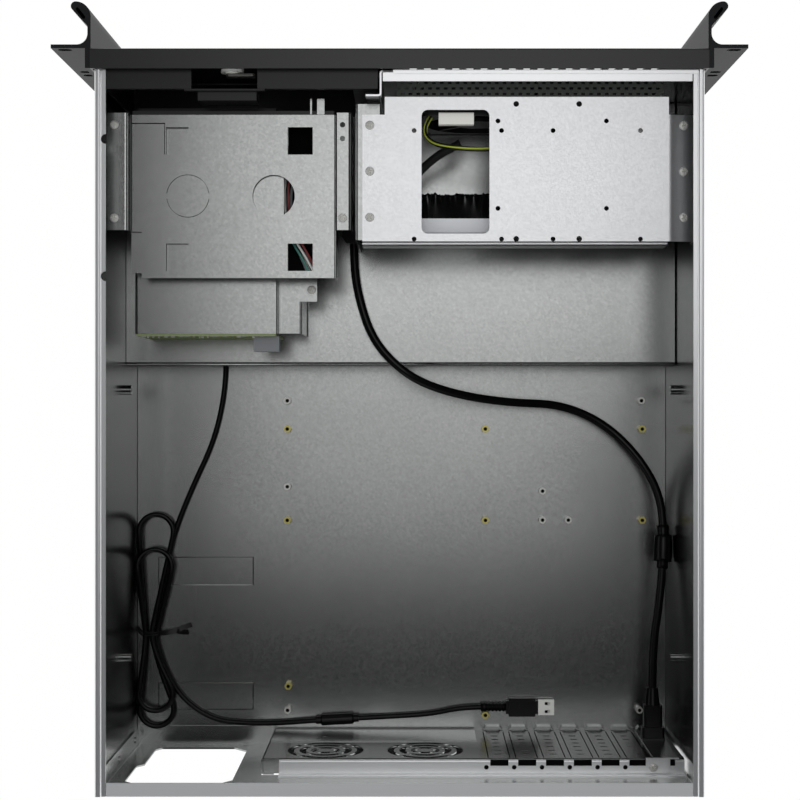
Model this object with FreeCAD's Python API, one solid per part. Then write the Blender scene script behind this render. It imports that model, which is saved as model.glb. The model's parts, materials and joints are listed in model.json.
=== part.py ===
"""Empty rackmount server case, four rack units high, with its lid off.

Millimetres. +X is the right side seen from the front, +Y runs to the rear, +Z is up.
The origin is under the middle of the case, on the surface that it stands on.
"""
import FreeCAD, Part
import math
import os

os.makedirs("parts", exist_ok=True)
V = FreeCAD.Vector

# ---- Driving sizes -------------------------------------------------------------------
RACK_WIDTH = 482.6          # over the two ears
CASE_HEIGHT = 177.0         # four rack units, less the usual gap
CASE_DEPTH = 551.0          # handles to rear wall
EAR_REACH = 27.05           # each ear stands this far outside the bezel
BEZEL_LAP = 2.55            # bezel's flanges stand this far outside the body
HANDLE_REACH = 32.3         # handles stand this far in front of the bezel
BEZEL_DEPTH = 14.0          # bezel's front face to the body
BEZEL_SHEET = 1.5
SHEET = 1.2                 # galvanised steel
BEND = 1.0                  # inside radius of an ordinary bend
LID_ROOM = 2.5              # the rims lie this far below the bezel's top
FIT = 0.3                   # gap between pieces that only rest beside each other

# Rack ears
SLOT_INSET = 8.75           # middle of a rack slot to the ear's end
SLOT_LENGTH = 9.8
SLOT_HEIGHT = 6.8
SLOT_EDGE = 5.95            # lowest slot above the case's bottom
SLOT_PITCH = 12.7           # the middle pair
EAR_SHEET = 2.6
EAR_FLANGE = 3.4
NECK = 2.2
HORN_TIP = 3.3
HORN_CROWN = 10.4
HORN_ANGLE = 43.0
EAR_FILLET = 7.6

# Rims of the body
RIM_WIDTH = 7.7
RIM_STEP = 1.2

# Deck over the front of the floor
DECK_TOP = 55.0
BOARD_ROOM = 289.0          # slotted wall to the deck
DECK_FOOT = 12.0
CABLE_GATE = (16.0, 9.0)    # width and height

# Drive plate beside the cage
PLATE_TOP = 153.0
PLATE_MARGIN = 19.5         # left wall to the level part of the plate
PLATE_SETBACK = 14.1        # front wall to the plate
PLATE_DEPTH = 105.0
PLATE_LIP = 21.0
PLATE_SLOPE = 10.0          # degrees, of its outer margin
WEB_WINDOWS = 6             # cable windows along the partition
WEB_WINDOW = 9.0
WEB_PITCH = 14.5
WEB_EDGE = 13.9             # the first, from the plate's front
PLATE_NOTCH = 12.6          # depth of the notches in the plate's front corners
NOTCH_GAP = 1.9             # notch to the wall's return
WINDOW_INSET = 41.8         # plate's right edge to its window
WINDOW_WIDTH = 48.0
WINDOW_MARGINS = (9.1, 8.4) # in front of the window and behind it
WINDOW_CORNER = 4.5
SMALL_DRIVE = (61.72, 76.6)     # hole spacing under a 2.5 inch drive
LARGE_DRIVE = (44.45, 95.25)    # hole spacing under a 3.5 inch drive
DRIVE_HOLE_R = 1.7
SMALL_HOLES = ((36.6, 23.8), (134.7, 23.8))     # first holes from the plate's right and front edges
TURNED_HOLES = (95.8, 17.0)                     # the same drive laid the other way
LARGE_HOLES = (108.7, 5.0)
PLATE_SCREW_EDGE = 20.0     # first and last screws from the plate's edges

# Cage for the drives behind the door
CAGE_MARGIN = 18.8          # right wall to the cage
CAGE_WIDTH = 147.0
CAGE_SETBACK = 26.3         # front wall to the cage
CAGE_DEPTH = 115.5
CAGE_TOP = 150.0
CAGE_TO_PLATE = 18.2
CAGE_TO_PARTITION = 12.9
CAGE_WINDOW = (16.0, 19.4)
CAGE_WINDOW_INSET = (26.0, 17.0)    # from the cage's right and left sides
CAGE_WINDOW_EDGE = (8.7, 5.0)       # from its front and rear edges
KNOCKOUT_R = 15.0
KNOCKOUT_PITCH = 60.7
KNOCKOUT_SHIFT = 1.55       # the pair lies this far right of the cage's middle
RAIL_LENGTH = 83.0
RAIL_SETBACK = 24.8         # front wall to the cage's side rails
RAIL_SCREW_INSET = 8.5
RAIL_WIDTH = 10.9
BAY_WIDTH = 103.5
BAY_TOP = 128.0
BAY_SETBACK = 25.0
BAY_DEPTH = 155.3
TRAY_LIFT = 5.0             # under the lower drive tray
TRAY_GAP = 3.0
DUCT_WIDTH = 16.4
DUCT_TOP = 118.0
DUCT_DEPTH = 71.3

# Door in the bezel
DOOR_WIDTH = 169.0
DOOR_EDGE = 10.05           # door to the inside of the bezel's right end
DOOR_SHEET = 2.4
DOOR_GAP = 1.0
DOOR_BOTTOM = 58.0
DOOR_MARGIN = 13.0          # door's top edge to the case's top
HINGE_BARREL_R = 2.6
PIN_R = 1.0
PIN_CLEARANCE = 0.05
LOCK_R = 8.0
PLUG_R = 5.0
CAM_LENGTH = 16.0
CAM_WIDTH = 9.0
LOCK_DROP = 12.0            # lock's middle below the door's top edge
LOCK_ROOM = (19.2, 26.8)    # notch in the frame, left and right of the lock
FRAME_DEPTH = 25.3
FRAME_MARGIN = 7.0          # frame's top to the case's top
FRAME_SIDES = (18.4, 3.3)   # frame's width left and right of the door

# Controls under the door, placed from its right edge
BUTTON_Z = 29.0
POWER_INSET = 128.7
RESET_INSET = 108.7
LIGHT_INSETS = (94.7, 86.7)
PORT_INSETS = (70.7, 50.7)
POWER_R = 7.0
RESET_R = 3.5
LIGHT_R = 1.5
BLOCK_END = 12.0            # control block beyond its last port
BLOCK_START = 14.0          # and before the power button
BLOCK_HEIGHT = 30.0
GATE_HEIGHT = 22.0          # opening behind the block
PORT = (13.2, 5.8)
SOCKET_Z = 42.0             # lead's socket in the rear bracket

# Front ventilation and its fans
VENT_PITCH = 5.19
VENT_SLOT = (2.7, 11.0)
VENT_ROWS = 4
VENT_ROW_PITCH = 16.3
VENT_MARGIN = 16.8          # last vents to the wall's return
RETURN_MARGIN = 21.1        # wall's return to the door
RETURN_DEPTH = 17.0
FAN_SIZE = 80.0
FAN_DEPTH = 25.0
FAN_PITCH = 82.0
FAN_LIFT = 4.6              # fans above the deck
FAN_HOLE = 35.75            # half a fan's hole spacing
FAN_BORE_R = 38.0
FAN_HUB_R = 16.0
FAN_TIP_GAP = 1.2
BLADES = 7
SHAFT_R = 1.5

# Rear wall
IO_DEPTH = 11.9             # the slotted wall stands this far in front of the outer wall
IO_MARGIN = 2.8             # left wall to the slotted wall
IO_TO_PSU = 19.0            # slotted wall to the power supply's opening
LEDGE_TOP = 112.0
LEDGE_END = 13.3            # ledge stops this far from the slotted wall's end
SLOTS = 7
FIRST_SLOT = 138.1          # left wall to the first expansion slot
EXPANSION_PITCH = 20.32
SLOT_NOTCH = 13.2
COVER_WIDTH = 15.8
SCREW_OFFSET = 9.5
SCREW_SETBACK = 6.1         # card screws behind the slotted wall's face
GRILLE_EDGE = 32.4          # middle of the last grille to the ledge's end
GRILLE_PITCH = 74.7
GRILLE_GAP = 5.0            # first slot to the room that the grilles may take
GRILLE_Z = 80.8
GRILLE_R = 28.4
GRILLE_RINGS = (6.0, 14.8, 23.6)
GRILLE_SLOT = 4.8
GRILLE_SPOKE = 3.0
BLANK_GAP = 14.4            # first slot to the blank plate
BLANK_EDGE = 2.0
BLANK_Z = (7.5, 49.5)
PEEP_INSET = (40.0, 15.5)   # small hole, from the blank plate's end and top
PEEP_R = 2.2
PSU_MARGIN = 12.5           # right wall to the power supply's opening
PSU_WIDTH = 77.0
PSU_Z = (14.0, 138.0)

# Mainboard standoffs: places right of the first slot, and in front of the slotted wall
BOARD_COLUMNS = (-118.8, 5.8, 163.1)
BOARD_ROWS = (239.7, 167.2)
BOARD_REAR = ((5.8, 12.4), (162.4, 35.4))
SPARE_POSTS = (
    (163.1, 262.2), (-118.1, 262.2), (163.1, 193.9), (-39.6, 190.4),
    (-39.6, 167.4), (-60.1, 167.4), (162.9, 16.4), (-116.6, 16.4),
)
POST_HEIGHT = 6.5
POST_R = 2.7                # round steel post
POST_HEX_R = 3.1            # brass post, over its corners
POST_BORE_R = 1.45

SIDE_FLANGE = 14.0          # rear panel's flanges along the side walls

# Slide rails at the sides, lid hooks in the rims, pads pressed in the floor
RAIL_HOLES = (221.4, 424.4)     # behind the body's front edge
RAIL_Z = 64.0
INSERT_R = 3.6              # threaded inserts inside the walls
INSERT_LENGTH = 6.0
INSERT_BORE_R = 1.7
HOOK_NOTCHES = (48.2, 143.5)
PAD_GAP = 27.3              # last column of standoffs to the pads
PAD_MARGIN = 16.5           # pads to the right wall
PAD_ROWS = ((149.7, 126.9), (49.5, 27.7))       # in front of the rear wall
PAD_RISE = 0.8

# Leads
LEAD_R = 3.2                # heavy round lead
USB_R = 2.1                 # thin lead
FERRITE_RUN = ((-203.4, 103.0, 37.5), (-202.6, 124.6, 40.0))
BEAD_RUN = ((68.0, 254.2, 5.8), (34.0, 252.4, 5.8))
HEAVY_ROUTE = (
    (35.6, -118.7, 64.0), (35.6, -100.0, 64.0), (31.5, -76.0, 61.5), (23.0, -50.0, 63.5), (8.5, -30.5, 66.0),
    (-13.0, -14.0, 64.5), (-46.0, -3.5, 49.0), (-86.0, 2.0, 34.5), (-125.0, 3.0, 22.5), (-160.0, 18.0, 18.5),
    (-187.0, 45.0, 22.0), (-202.0, 74.0, 31.0), *FERRITE_RUN,
    (-199.5, 158.0, 42.0), (-194.3, 190.0, 42.0), (-194.3, 222.0, 42.0),
)
USB_IN_ROUTE = (
    (140.0, -229.2, 29.0), (140.0, -211.0, 29.0), (139.6, -186.0, 16.5), (141.6, -158.0, 5.2),
    (142.6, -122.0, 3.6), (139.6, -78.0, 3.6), (139.4, -40.0, 3.6), (140.6, -6.0, 3.6), (149.0, 32.0, 3.6),
    (167.0, 70.0, 3.6), (182.0, 108.0, 4.8), (191.5, 148.0, 6.5),
)
USB_OUT_ROUTE = (
    (194.6, 192.0, 6.5), (188.0, 214.0, 5.2), (174.0, 238.0, 4.8), (150.0, 254.0, 4.8), (124.0, 256.8, 4.6),
    (96.0, 256.6, 4.8), *BEAD_RUN, (8.0, 251.4, 3.9), (-24.0, 249.4, 3.9),
    (-48.0, 243.8, 5.6), (-66.6, 243.8, 5.6),
)
FAN_WIRE_R = 1.3
FAN_WIRE_ROUTE = (          # from the middle between the fans, at their rear
    (75.6, 0.0, 34.4), (75.6, 11.0, 34.4), (63.6, 22.0, 40.9), (35.6, 25.0, 42.4),
    (9.6, 21.0, 38.4), (-4.4, 10.0, 33.4), (-4.4, 0.0, 33.4),
)
CAGE_WIRE_R = 2.6
CAGE_WIRE_ROUTE = (         # from the bay's left front foot on the deck
    (-2.7, 17.0, 41.0), (-6.9, 49.0, 60.0), (-13.9, 77.0, 68.5), (-28.9, 102.0, 60.0),
    (-34.5, 108.0, 32.0), (-34.5, 108.0, 0.0),
)
HANK = (                    # outline of the wound-up part of the thin lead
    (183.8, 112), (184.8, 97), (188, 89), (193, 87.5), (198, 93), (203, 104), (207, 118), (207, 150),
    (203.2, 180), (203.2, 190), (207.6, 225), (207.6, 258), (203, 263), (199, 246), (190.5, 244),
    (189, 222), (194.4, 190), (194.4, 180), (187, 150),
)
HANK_HEIGHT = 8.5
TIE_Y = 185.0
TIE_WIDTH = 4.0
TAIL_R = 0.9
TAIL_REACH = (12.5, 26.5, 4.5)      # bend and end of the long tail, end of the short one
TAIL_DRIFT = (1.5, 6.5, 6.0)        # how far each leans to the front
SOCKET_GAP = 6.2            # partition to the deck socket's middle
SOCKET_LENGTH = 20.0
PLUG_SETBACK = 9.8          # front plug's end to the plate's rear edge
FRONT_PLUG = 11.3           # its length
PLUG_RELIEF = 13.0          # rear plug's taper, body and head, each along the lead
PLUG_BODY = 17.0
PLUG_HEAD = 8.0

# ---- Places that follow --------------------------------------------------------------
y_front = -CASE_DEPTH / 2
y_rear = CASE_DEPTH / 2
y_bezel = y_front + HANDLE_REACH
y_bezel_back = y_bezel + BEZEL_SHEET
y_body = y_bezel + BEZEL_DEPTH
y_wall = y_body + SHEET                     # inner face of the front wall
y_panel = y_rear - SHEET                    # inner face of the outer rear wall
y_io = y_panel - IO_DEPTH                   # inner face of the slotted wall
bezel_x = RACK_WIDTH / 2 - EAR_REACH
body_x = bezel_x - BEZEL_LAP
inner_x = body_x - SHEET
rim_top = CASE_HEIGHT - LID_ROOM
rim_low = rim_top - RIM_STEP - SHEET        # underside of the lower part of a rim
deck_rear = y_io - BOARD_ROOM
cage_x = (inner_x - CAGE_MARGIN - CAGE_WIDTH, inner_x - CAGE_MARGIN)
cage_y = (y_wall + CAGE_SETBACK, y_wall + CAGE_SETBACK + CAGE_DEPTH)
rail_y = (y_wall + RAIL_SETBACK, y_wall + RAIL_SETBACK + RAIL_LENGTH)
bay_x = (cage_x[1] - FIT - BAY_WIDTH, cage_x[1] - FIT)
bay_y = (y_wall + BAY_SETBACK, y_wall + BAY_SETBACK + BAY_DEPTH)
plate_x = (-inner_x + PLATE_MARGIN, cage_x[0] - CAGE_TO_PLATE)
plate_y = (y_wall + PLATE_SETBACK, y_wall + PLATE_SETBACK + PLATE_DEPTH)
partition_x = cage_x[0] - CAGE_TO_PARTITION
door_right = bezel_x - BEZEL_SHEET - DOOR_EDGE
door_left = door_right - DOOR_WIDTH
door_x = (door_left + door_right) / 2
return_x = door_left - RETURN_MARGIN        # vented half of the front wall folds back here
door_top = CASE_HEIGHT - DOOR_MARGIN
frame_top = CASE_HEIGHT - FRAME_MARGIN
hinge_y = y_bezel + HINGE_BARREL_R
hinge_z = DOOR_BOTTOM + HINGE_BARREL_R
lock_z = door_top - LOCK_DROP
power_x = door_right - POWER_INSET
reset_x = door_right - RESET_INSET
light_x = [door_right - inset for inset in LIGHT_INSETS]
port_x = [door_right - inset for inset in PORT_INSETS]
vent_columns = round((return_x - VENT_MARGIN - plate_x[0]) / VENT_PITCH)
vent_centre_x = (return_x - VENT_MARGIN + plate_x[0]) / 2
fan_z = DECK_TOP + FAN_LIFT + FAN_SIZE / 2
psu_x = (inner_x - PSU_MARGIN - PSU_WIDTH, inner_x - PSU_MARGIN)
io_x = (-inner_x + IO_MARGIN, psu_x[0] - IO_TO_PSU)
ledge_end_x = io_x[1] - LEDGE_END
slot_first_x = -inner_x + FIRST_SLOT
slot_x = slot_first_x - (SLOTS - 1) * EXPANSION_PITCH   # last slot, which holds the lead's socket
grilles = int((ledge_end_x - slot_first_x - GRILLE_GAP) / GRILLE_PITCH)
grille_x = [ledge_end_x - GRILLE_EDGE - i * GRILLE_PITCH for i in range(grilles)]
blank_x = (slot_first_x + BLANK_GAP, io_x[1] - BLANK_EDGE)
pad_x = (slot_first_x + BOARD_COLUMNS[-1] + PAD_GAP, inner_x - PAD_MARGIN)
socket_x = partition_x + SOCKET_GAP
plug_end = plate_y[1] - PLUG_SETBACK
socket_front = plug_end - FRONT_PLUG

PLANES = {
    "YZ": (lambda u, v, w: V(w, u, v), V(1, 0, 0)),
    "XZ": (lambda u, v, w: V(u, w, v), V(0, 1, 0)),
    "XY": (lambda u, v, w: V(u, v, w), V(0, 0, 1)),
}
nodes = {}


# ---- Helpers -------------------------------------------------------------------------
def box(x0, x1, y0, y1, z0, z1):
    return Part.makeBox(x1 - x0, y1 - y0, z1 - z0, V(x0, y0, z0))


def rod(start, end, radius):
    line = V(*end) - V(*start)
    return Part.makeCylinder(radius, line.Length, V(*start), line)


def prism(corners, plane, start, end):
    """A straight-sided outline, extruded across its plane."""
    place, along = PLANES[plane]
    points = [place(u, v, start) for u, v in corners]
    face = Part.Face(Part.makePolygon(points + [points[0]]))
    return face.extrude(along * (end - start))


def rounded_box(x0, x1, y0, y1, z0, z1, radius, along="Z"):
    """A box whose four edges along one axis are rounded."""
    block = box(x0, x1, y0, y1, z0, z1)
    axis = {"X": V(1, 0, 0), "Y": V(0, 1, 0), "Z": V(0, 0, 1)}[along]
    edges = [e for e in block.Edges if abs(e.tangentAt(0).dot(axis)) > 0.99]
    return block.makeFillet(radius, edges)


def chamfered_box(x0, x1, y0, y1, z0, z1, size, along="Z"):
    """A box whose four edges along one axis are bevelled."""
    block = box(x0, x1, y0, y1, z0, z1)
    axis = {"X": V(1, 0, 0), "Y": V(0, 1, 0), "Z": V(0, 0, 1)}[along]
    edges = [e for e in block.Edges if abs(e.tangentAt(0).dot(axis)) > 0.99]
    return block.makeChamfer(size, edges)


def folded_sheet(corners, plane, start, end, thickness=SHEET, bend=BEND):
    """A folded strip: the corners lie on the middle of the sheet's thickness."""
    place, along = PLANES[plane]
    half = thickness / 2
    mid_radius = bend + half
    heading = []
    for (u0, v0), (u1, v1) in zip(corners, corners[1:]):
        length = math.hypot(u1 - u0, v1 - v0)
        heading.append(((u1 - u0) / length, (v1 - v0) / length))

    def shift(point, run, along_run, across_run):
        du, dv = heading[run]
        return (point[0] + du * along_run - dv * across_run, point[1] + dv * along_run + du * across_run)

    edges = []
    ends = []
    for side in (half, -half):
        last = shift(corners[0], 0, 0, side)
        first = last
        for i in range(1, len(corners) - 1):
            (a, b), (c, d) = heading[i - 1], heading[i]
            turn = math.atan2(a * d - b * c, a * c + b * d)
            trim = mid_radius * math.tan(abs(turn) / 2)
            sign = math.copysign(1, turn)
            centre = shift(shift(corners[i], i - 1, -trim, 0), i - 1, 0, mid_radius * sign)
            radius = mid_radius - side * sign
            out_u, out_v = corners[i][0] - centre[0], corners[i][1] - centre[1]
            reach = radius / math.hypot(out_u, out_v)
            arc_start = shift(corners[i], i - 1, -trim, side)
            arc_mid = (centre[0] + out_u * reach, centre[1] + out_v * reach)
            arc_end = shift(corners[i], i, trim, side)
            edges.append(Part.makeLine(place(*last, start), place(*arc_start, start)))
            edges.append(Part.Arc(place(*arc_start, start), place(*arc_mid, start),
                                  place(*arc_end, start)).toShape())
            last = arc_end
        final = shift(corners[-1], len(heading) - 1, 0, side)
        edges.append(Part.makeLine(place(*last, start), place(*final, start)))
        ends.append((first, final))
    for near, far in zip(*ends):
        edges.append(Part.makeLine(place(*near, start), place(*far, start)))
    wire = Part.Wire(Part.__sortEdges__(edges))
    return Part.Face(wire).extrude(along * (end - start))


def screw(x, y, z, tilt=0.0, head_r=3.2, head=1.7, shank_r=1.5, shank=5.0):
    """A pan-head screw driven downwards; z is under its head."""
    body = Part.makeCylinder(head_r, head).fuse(Part.makeCylinder(shank_r, shank, V(0, 0, -shank)))
    body = body.removeSplitter()
    body.rotate(V(0, 0, 0), V(0, 1, 0), tilt)
    body.translate(V(x, y, z))
    return body


def hexagon(u, v, radius):
    turns = [math.radians(60 * i) for i in range(6)]
    return [(u + radius * math.cos(turn), v + radius * math.sin(turn)) for turn in turns]


def holes_z(points, radius, z0, z1):
    return [rod((x, y, z0), (x, y, z1), radius) for x, y in points]


def save(name, shape):
    nodes[name] = shape
    shape.exportStep("parts/" + name + ".step")


# ---- Body: floor, two sides and their rims, folded from one sheet ----------------------
def chassis_tub():
    edge_x = body_x - RIM_WIDTH
    side = body_x - SHEET / 2
    high = rim_top - SHEET / 2
    low = high - RIM_STEP
    half_path = [(edge_x, low), (edge_x + 3.2, low), (edge_x + 4.2, high), (side, high), (side, SHEET / 2)]
    path = half_path + [(-x, z) for x, z in reversed(half_path)]
    shell = folded_sheet(path, "XZ", y_body, y_rear, bend=0.4)
    cuts = []
    for setback in HOOK_NOTCHES:                    # half-round notches for the lid's hooks
        y = y_body + setback
        cuts.append(rod((edge_x, y, low - 2), (edge_x, y, high + 2), 3.4))
    for sign in (-1, 1):
        for y in rail_hole_y:                       # holes for the slide rails
            cuts.append(rod((sign * (inner_x - 1), y, RAIL_Z), (sign * (body_x + 1), y, RAIL_Z), 2.6))
    shell = shell.cut(cuts)
    for front, back in PAD_ROWS:                    # shallow pressed pads
        y0, y1 = y_panel - front, y_panel - back
        pad = box(pad_x[0], pad_x[1], y0, y1, SHEET, SHEET + PAD_RISE)
        rim = [e for e in pad.Edges if e.CenterOfMass.z > SHEET + PAD_RISE - 0.01]
        pad = pad.makeChamfer(PAD_RISE * 0.9, rim)
        pocket = box(pad_x[0] + 1.5, pad_x[1] - 1.5, y0 + 1.5, y1 - 1.5, -1, PAD_RISE)
        shell = shell.fuse(pad).cut(pocket)
    return shell.removeSplitter()


rail_hole_y = [y_body + setback for setback in RAIL_HOLES]
save("chassis_tub", chassis_tub())


def post(x, y, hexagonal):
    """A standoff: a threaded pillar pressed onto the floor."""
    if hexagonal:
        pillar = prism(hexagon(x, y, POST_HEX_R), "XY", SHEET, SHEET + POST_HEIGHT)
    else:
        pillar = rod((x, y, SHEET), (x, y, SHEET + POST_HEIGHT), POST_R)
    return pillar.cut(rod((x, y, SHEET + 1), (x, y, SHEET + POST_HEIGHT + 1), POST_BORE_R))


board_places = [(column, row) for column in BOARD_COLUMNS for row in BOARD_ROWS] + list(BOARD_REAR)
save("brass_standoffs", Part.makeCompound(
    [post(slot_first_x + across, y_io - back, True) for across, back in board_places]))
save("steel_standoffs", Part.makeCompound(
    [post(slot_first_x + across, y_io - back, False) for across, back in SPARE_POSTS]))
inserts = []
for sign in (-1, 1):
    for y in rail_hole_y:
        end = inner_x - INSERT_LENGTH
        collar = rod((sign * inner_x, y, RAIL_Z), (sign * end, y, RAIL_Z), INSERT_R)
        bore = rod((sign * (inner_x + 1), y, RAIL_Z), (sign * (end - 1), y, RAIL_Z), INSERT_BORE_R)
        inserts.append(collar.cut(bore))
save("rail_inserts", Part.makeCompound(inserts))


# ---- Rear: outer wall, slotted wall, covers --------------------------------------------
def rear_panel():
    """Outer rear wall, folded forward at both sides, the top and the power-supply end."""
    side = inner_x - SHEET / 2
    mid = y_panel + SHEET / 2
    flange_y = y_panel - SIDE_FLANGE
    wall = folded_sheet([(-side, flange_y), (-side, mid), (side, mid), (side, flange_y)],
                        "XY", SHEET, rim_low)
    lip_x = body_x - RIM_WIDTH - FIT
    lip = box(-lip_x, lip_x, y_panel - 8.2, y_panel, rim_top - RIM_STEP - SHEET, rim_top - RIM_STEP)
    bridge = box(-lip_x, lip_x, y_panel, y_rear, rim_low - 1, rim_top - RIM_STEP)
    foot = box(io_x[1] + 3, inner_x - SHEET - 2, y_panel - 15, y_panel, SHEET, 2 * SHEET)
    recess = box(io_x[0], io_x[1], y_panel - 1, y_rear + 1, -1, LEDGE_TOP - SHEET)
    psu = prism([(psu_x[0] + 11, PSU_Z[0]), (psu_x[1] - 9.5, PSU_Z[0]), (psu_x[1] - 5, PSU_Z[0] + 7),
                 (psu_x[1] - 5, PSU_Z[0] + 60), (psu_x[1], PSU_Z[0] + 67),
                 (psu_x[1], PSU_Z[1] - 7), (psu_x[1] - 7, PSU_Z[1]),
                 (psu_x[0] + 8, PSU_Z[1]), (psu_x[0], PSU_Z[1] - 10), (psu_x[0], PSU_Z[0] + 12)],
                "XZ", y_panel - 20, y_rear + 1)
    panel = wall.fuse([lip, bridge, foot]).cut([recess, psu])
    for x in (psu_x[0] + 3, psu_x[1] - 10):
        for z in (PSU_Z[0] - 6.5, PSU_Z[1] + 7.5):
            panel = panel.cut(rod((x, y_panel - 1, z), (x, y_rear + 1, z), 2.0))
    return panel.removeSplitter()


def grille_slots(x, z):
    """Four rings of arcs, cut by four spokes."""
    slots = []
    for inner in GRILLE_RINGS:
        outer = inner + GRILLE_SLOT
        ring = rod((x, y_io - 1, z), (x, y_io + SHEET + 1, z), outer)
        slots.append(ring.cut(rod((x, y_io - 2, z), (x, y_io + SHEET + 2, z), inner)))
    rings = slots[0].fuse(slots[1:])
    spokes = []
    for angle in (45, 135):
        bar = box(x - GRILLE_R - 2, x + GRILLE_R + 2, y_io - 2, y_io + SHEET + 2,
                  z - GRILLE_SPOKE / 2, z + GRILLE_SPOKE / 2)
        bar.rotate(V(x, 0, z), V(0, 1, 0), angle)
        spokes.append(bar)
    return rings.cut(spokes)


def io_wall():
    """Wall with the expansion slots, the fan grilles and the ledge that the cards screw to."""
    mid = y_io + SHEET / 2
    shelf = LEDGE_TOP - SHEET / 2
    behind = y_panel - SHEET / 2 - 0.02
    main = folded_sheet([(mid, SHEET), (mid, shelf), (behind, shelf), (behind, shelf + 9)],
                        "YZ", io_x[0], ledge_end_x)
    end = folded_sheet([(ledge_end_x - 1, mid), (io_x[1] - SHEET / 2, mid), (io_x[1] - SHEET / 2, behind),
                        (ledge_end_x + 4, behind)], "XY", SHEET, LEDGE_TOP - 2)
    wall = main.fuse(end)
    cuts = [grille_slots(x, GRILLE_Z) for x in grille_x]
    cuts.append(box(blank_x[0] + 2, blank_x[1] - 2, y_io - 1, y_io + SHEET + 1,
                    BLANK_Z[0] + 2, BLANK_Z[1] - 2))
    bridges = []
    for k in range(SLOTS):
        x = slot_first_x - k * EXPANSION_PITCH
        screw_x = x + SCREW_OFFSET
        screw_y = y_io + SCREW_SETBACK
        cuts.append(box(x - SLOT_NOTCH / 2, x + SLOT_NOTCH / 2, y_io - 1, y_io + 5,
                        shelf - 2.4, LEDGE_TOP + 1))
        cuts.append(rod((screw_x, screw_y, shelf - 3), (screw_x, screw_y, shelf + 3), 1.7))
        if k < SLOTS - 1:
            for sign in (-1, 1):                    # slits beside each knock-out cover
                slit = x + sign * COVER_WIDTH / 2
                cuts.append(box(slit - 0.4, slit + 0.4, y_io - 1, y_io + SHEET + 1, 10, shelf - 4))
            for row in range(6):
                z = 26 + row * 13.5
                cuts.append(box(x - 2.6, x + 2.6, y_io - 1, y_io + SHEET + 1, z, z + 3.2))
        else:
            cuts.append(box(x - 6.5, x + 6.5, y_io - 1, y_io + SHEET + 1, 8, shelf - 1))
        pocket = prism([(x - COVER_WIDTH / 2, y_io), (x - COVER_WIDTH / 2 + 2.4, y_io - 3.2),
                        (x + COVER_WIDTH / 2 - 2.4, y_io - 3.2), (x + COVER_WIDTH / 2, y_io)],
                       "XY", SHEET, 6.2)
        hollow = prism([(x - COVER_WIDTH / 2 + 1.4, y_io + 0.1), (x - COVER_WIDTH / 2 + 3.2, y_io - 2.2),
                        (x + COVER_WIDTH / 2 - 3.2, y_io - 2.2), (x + COVER_WIDTH / 2 - 1.4, y_io + 0.1)],
                       "XY", SHEET - 1, 7)
        bridges.append(pocket.cut(hollow))
    return wall.cut(cuts).fuse(bridges).removeSplitter()


save("rear_panel", rear_panel())
save("io_wall", io_wall())
blank = box(blank_x[0], blank_x[1], y_io - 0.8, y_io, BLANK_Z[0], BLANK_Z[1])
plug_in = box(blank_x[0] + 2.2, blank_x[1] - 2.2, y_io, y_io + SHEET, BLANK_Z[0] + 2.2, BLANK_Z[1] - 2.2)
peep_x, peep_z = blank_x[1] - PEEP_INSET[0], BLANK_Z[1] - PEEP_INSET[1]
peep = rod((peep_x, y_io - 2, peep_z), (peep_x, y_io + 3, peep_z), PEEP_R)
save("io_blank_plate", blank.fuse(plug_in).removeSplitter().cut(peep))

# Expansion bracket in the last slot, which holds the lead's socket.
blade = box(slot_x - 9.2, slot_x + 9.2, y_io - 0.9, y_io, 6.4, LEDGE_TOP + 0.9)
tab = box(slot_x - 2.8, slot_x + 15.0, y_io - 0.9, y_panel - SHEET - BEND - FIT, LEDGE_TOP, LEDGE_TOP + 0.9)
bracket_screw_at = (slot_x + SCREW_OFFSET, y_io + SCREW_SETBACK)
tab = tab.cut(holes_z([bracket_screw_at], 1.7, LEDGE_TOP - 10, LEDGE_TOP + 10))
ear = box(slot_x + 9.2, slot_x + 15.0, y_io - 0.9, y_io, LEDGE_TOP - 3, LEDGE_TOP + 0.9)
port = box(slot_x - 7, slot_x + 7, y_io - 3, y_io + 3, SOCKET_Z - 6, SOCKET_Z + 6)
save("lead_bracket", blade.fuse([tab, ear]).cut(port).removeSplitter())
socket = box(slot_x - 5.9, slot_x + 5.9, y_io - 2.4, y_io + 6, SOCKET_Z - 5, SOCKET_Z + 5)
collar = box(slot_x - 8.6, slot_x + 8.6, y_io - 2.4, y_io - 0.9, SOCKET_Z - 7.6, SOCKET_Z + 7.6)
save("bracket_socket", socket.fuse(collar).removeSplitter())
bracket_screw = screw(*bracket_screw_at, LEDGE_TOP + 0.9)


# ---- Front: inner wall, bezel, ears ----------------------------------------------------
vent_z = [fan_z + (i - (VENT_ROWS - 1) / 2) * VENT_ROW_PITCH for i in range(VENT_ROWS)]
vent_x = [vent_centre_x + (i - (vent_columns - 1) / 2) * VENT_PITCH for i in range(vent_columns)]


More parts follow.
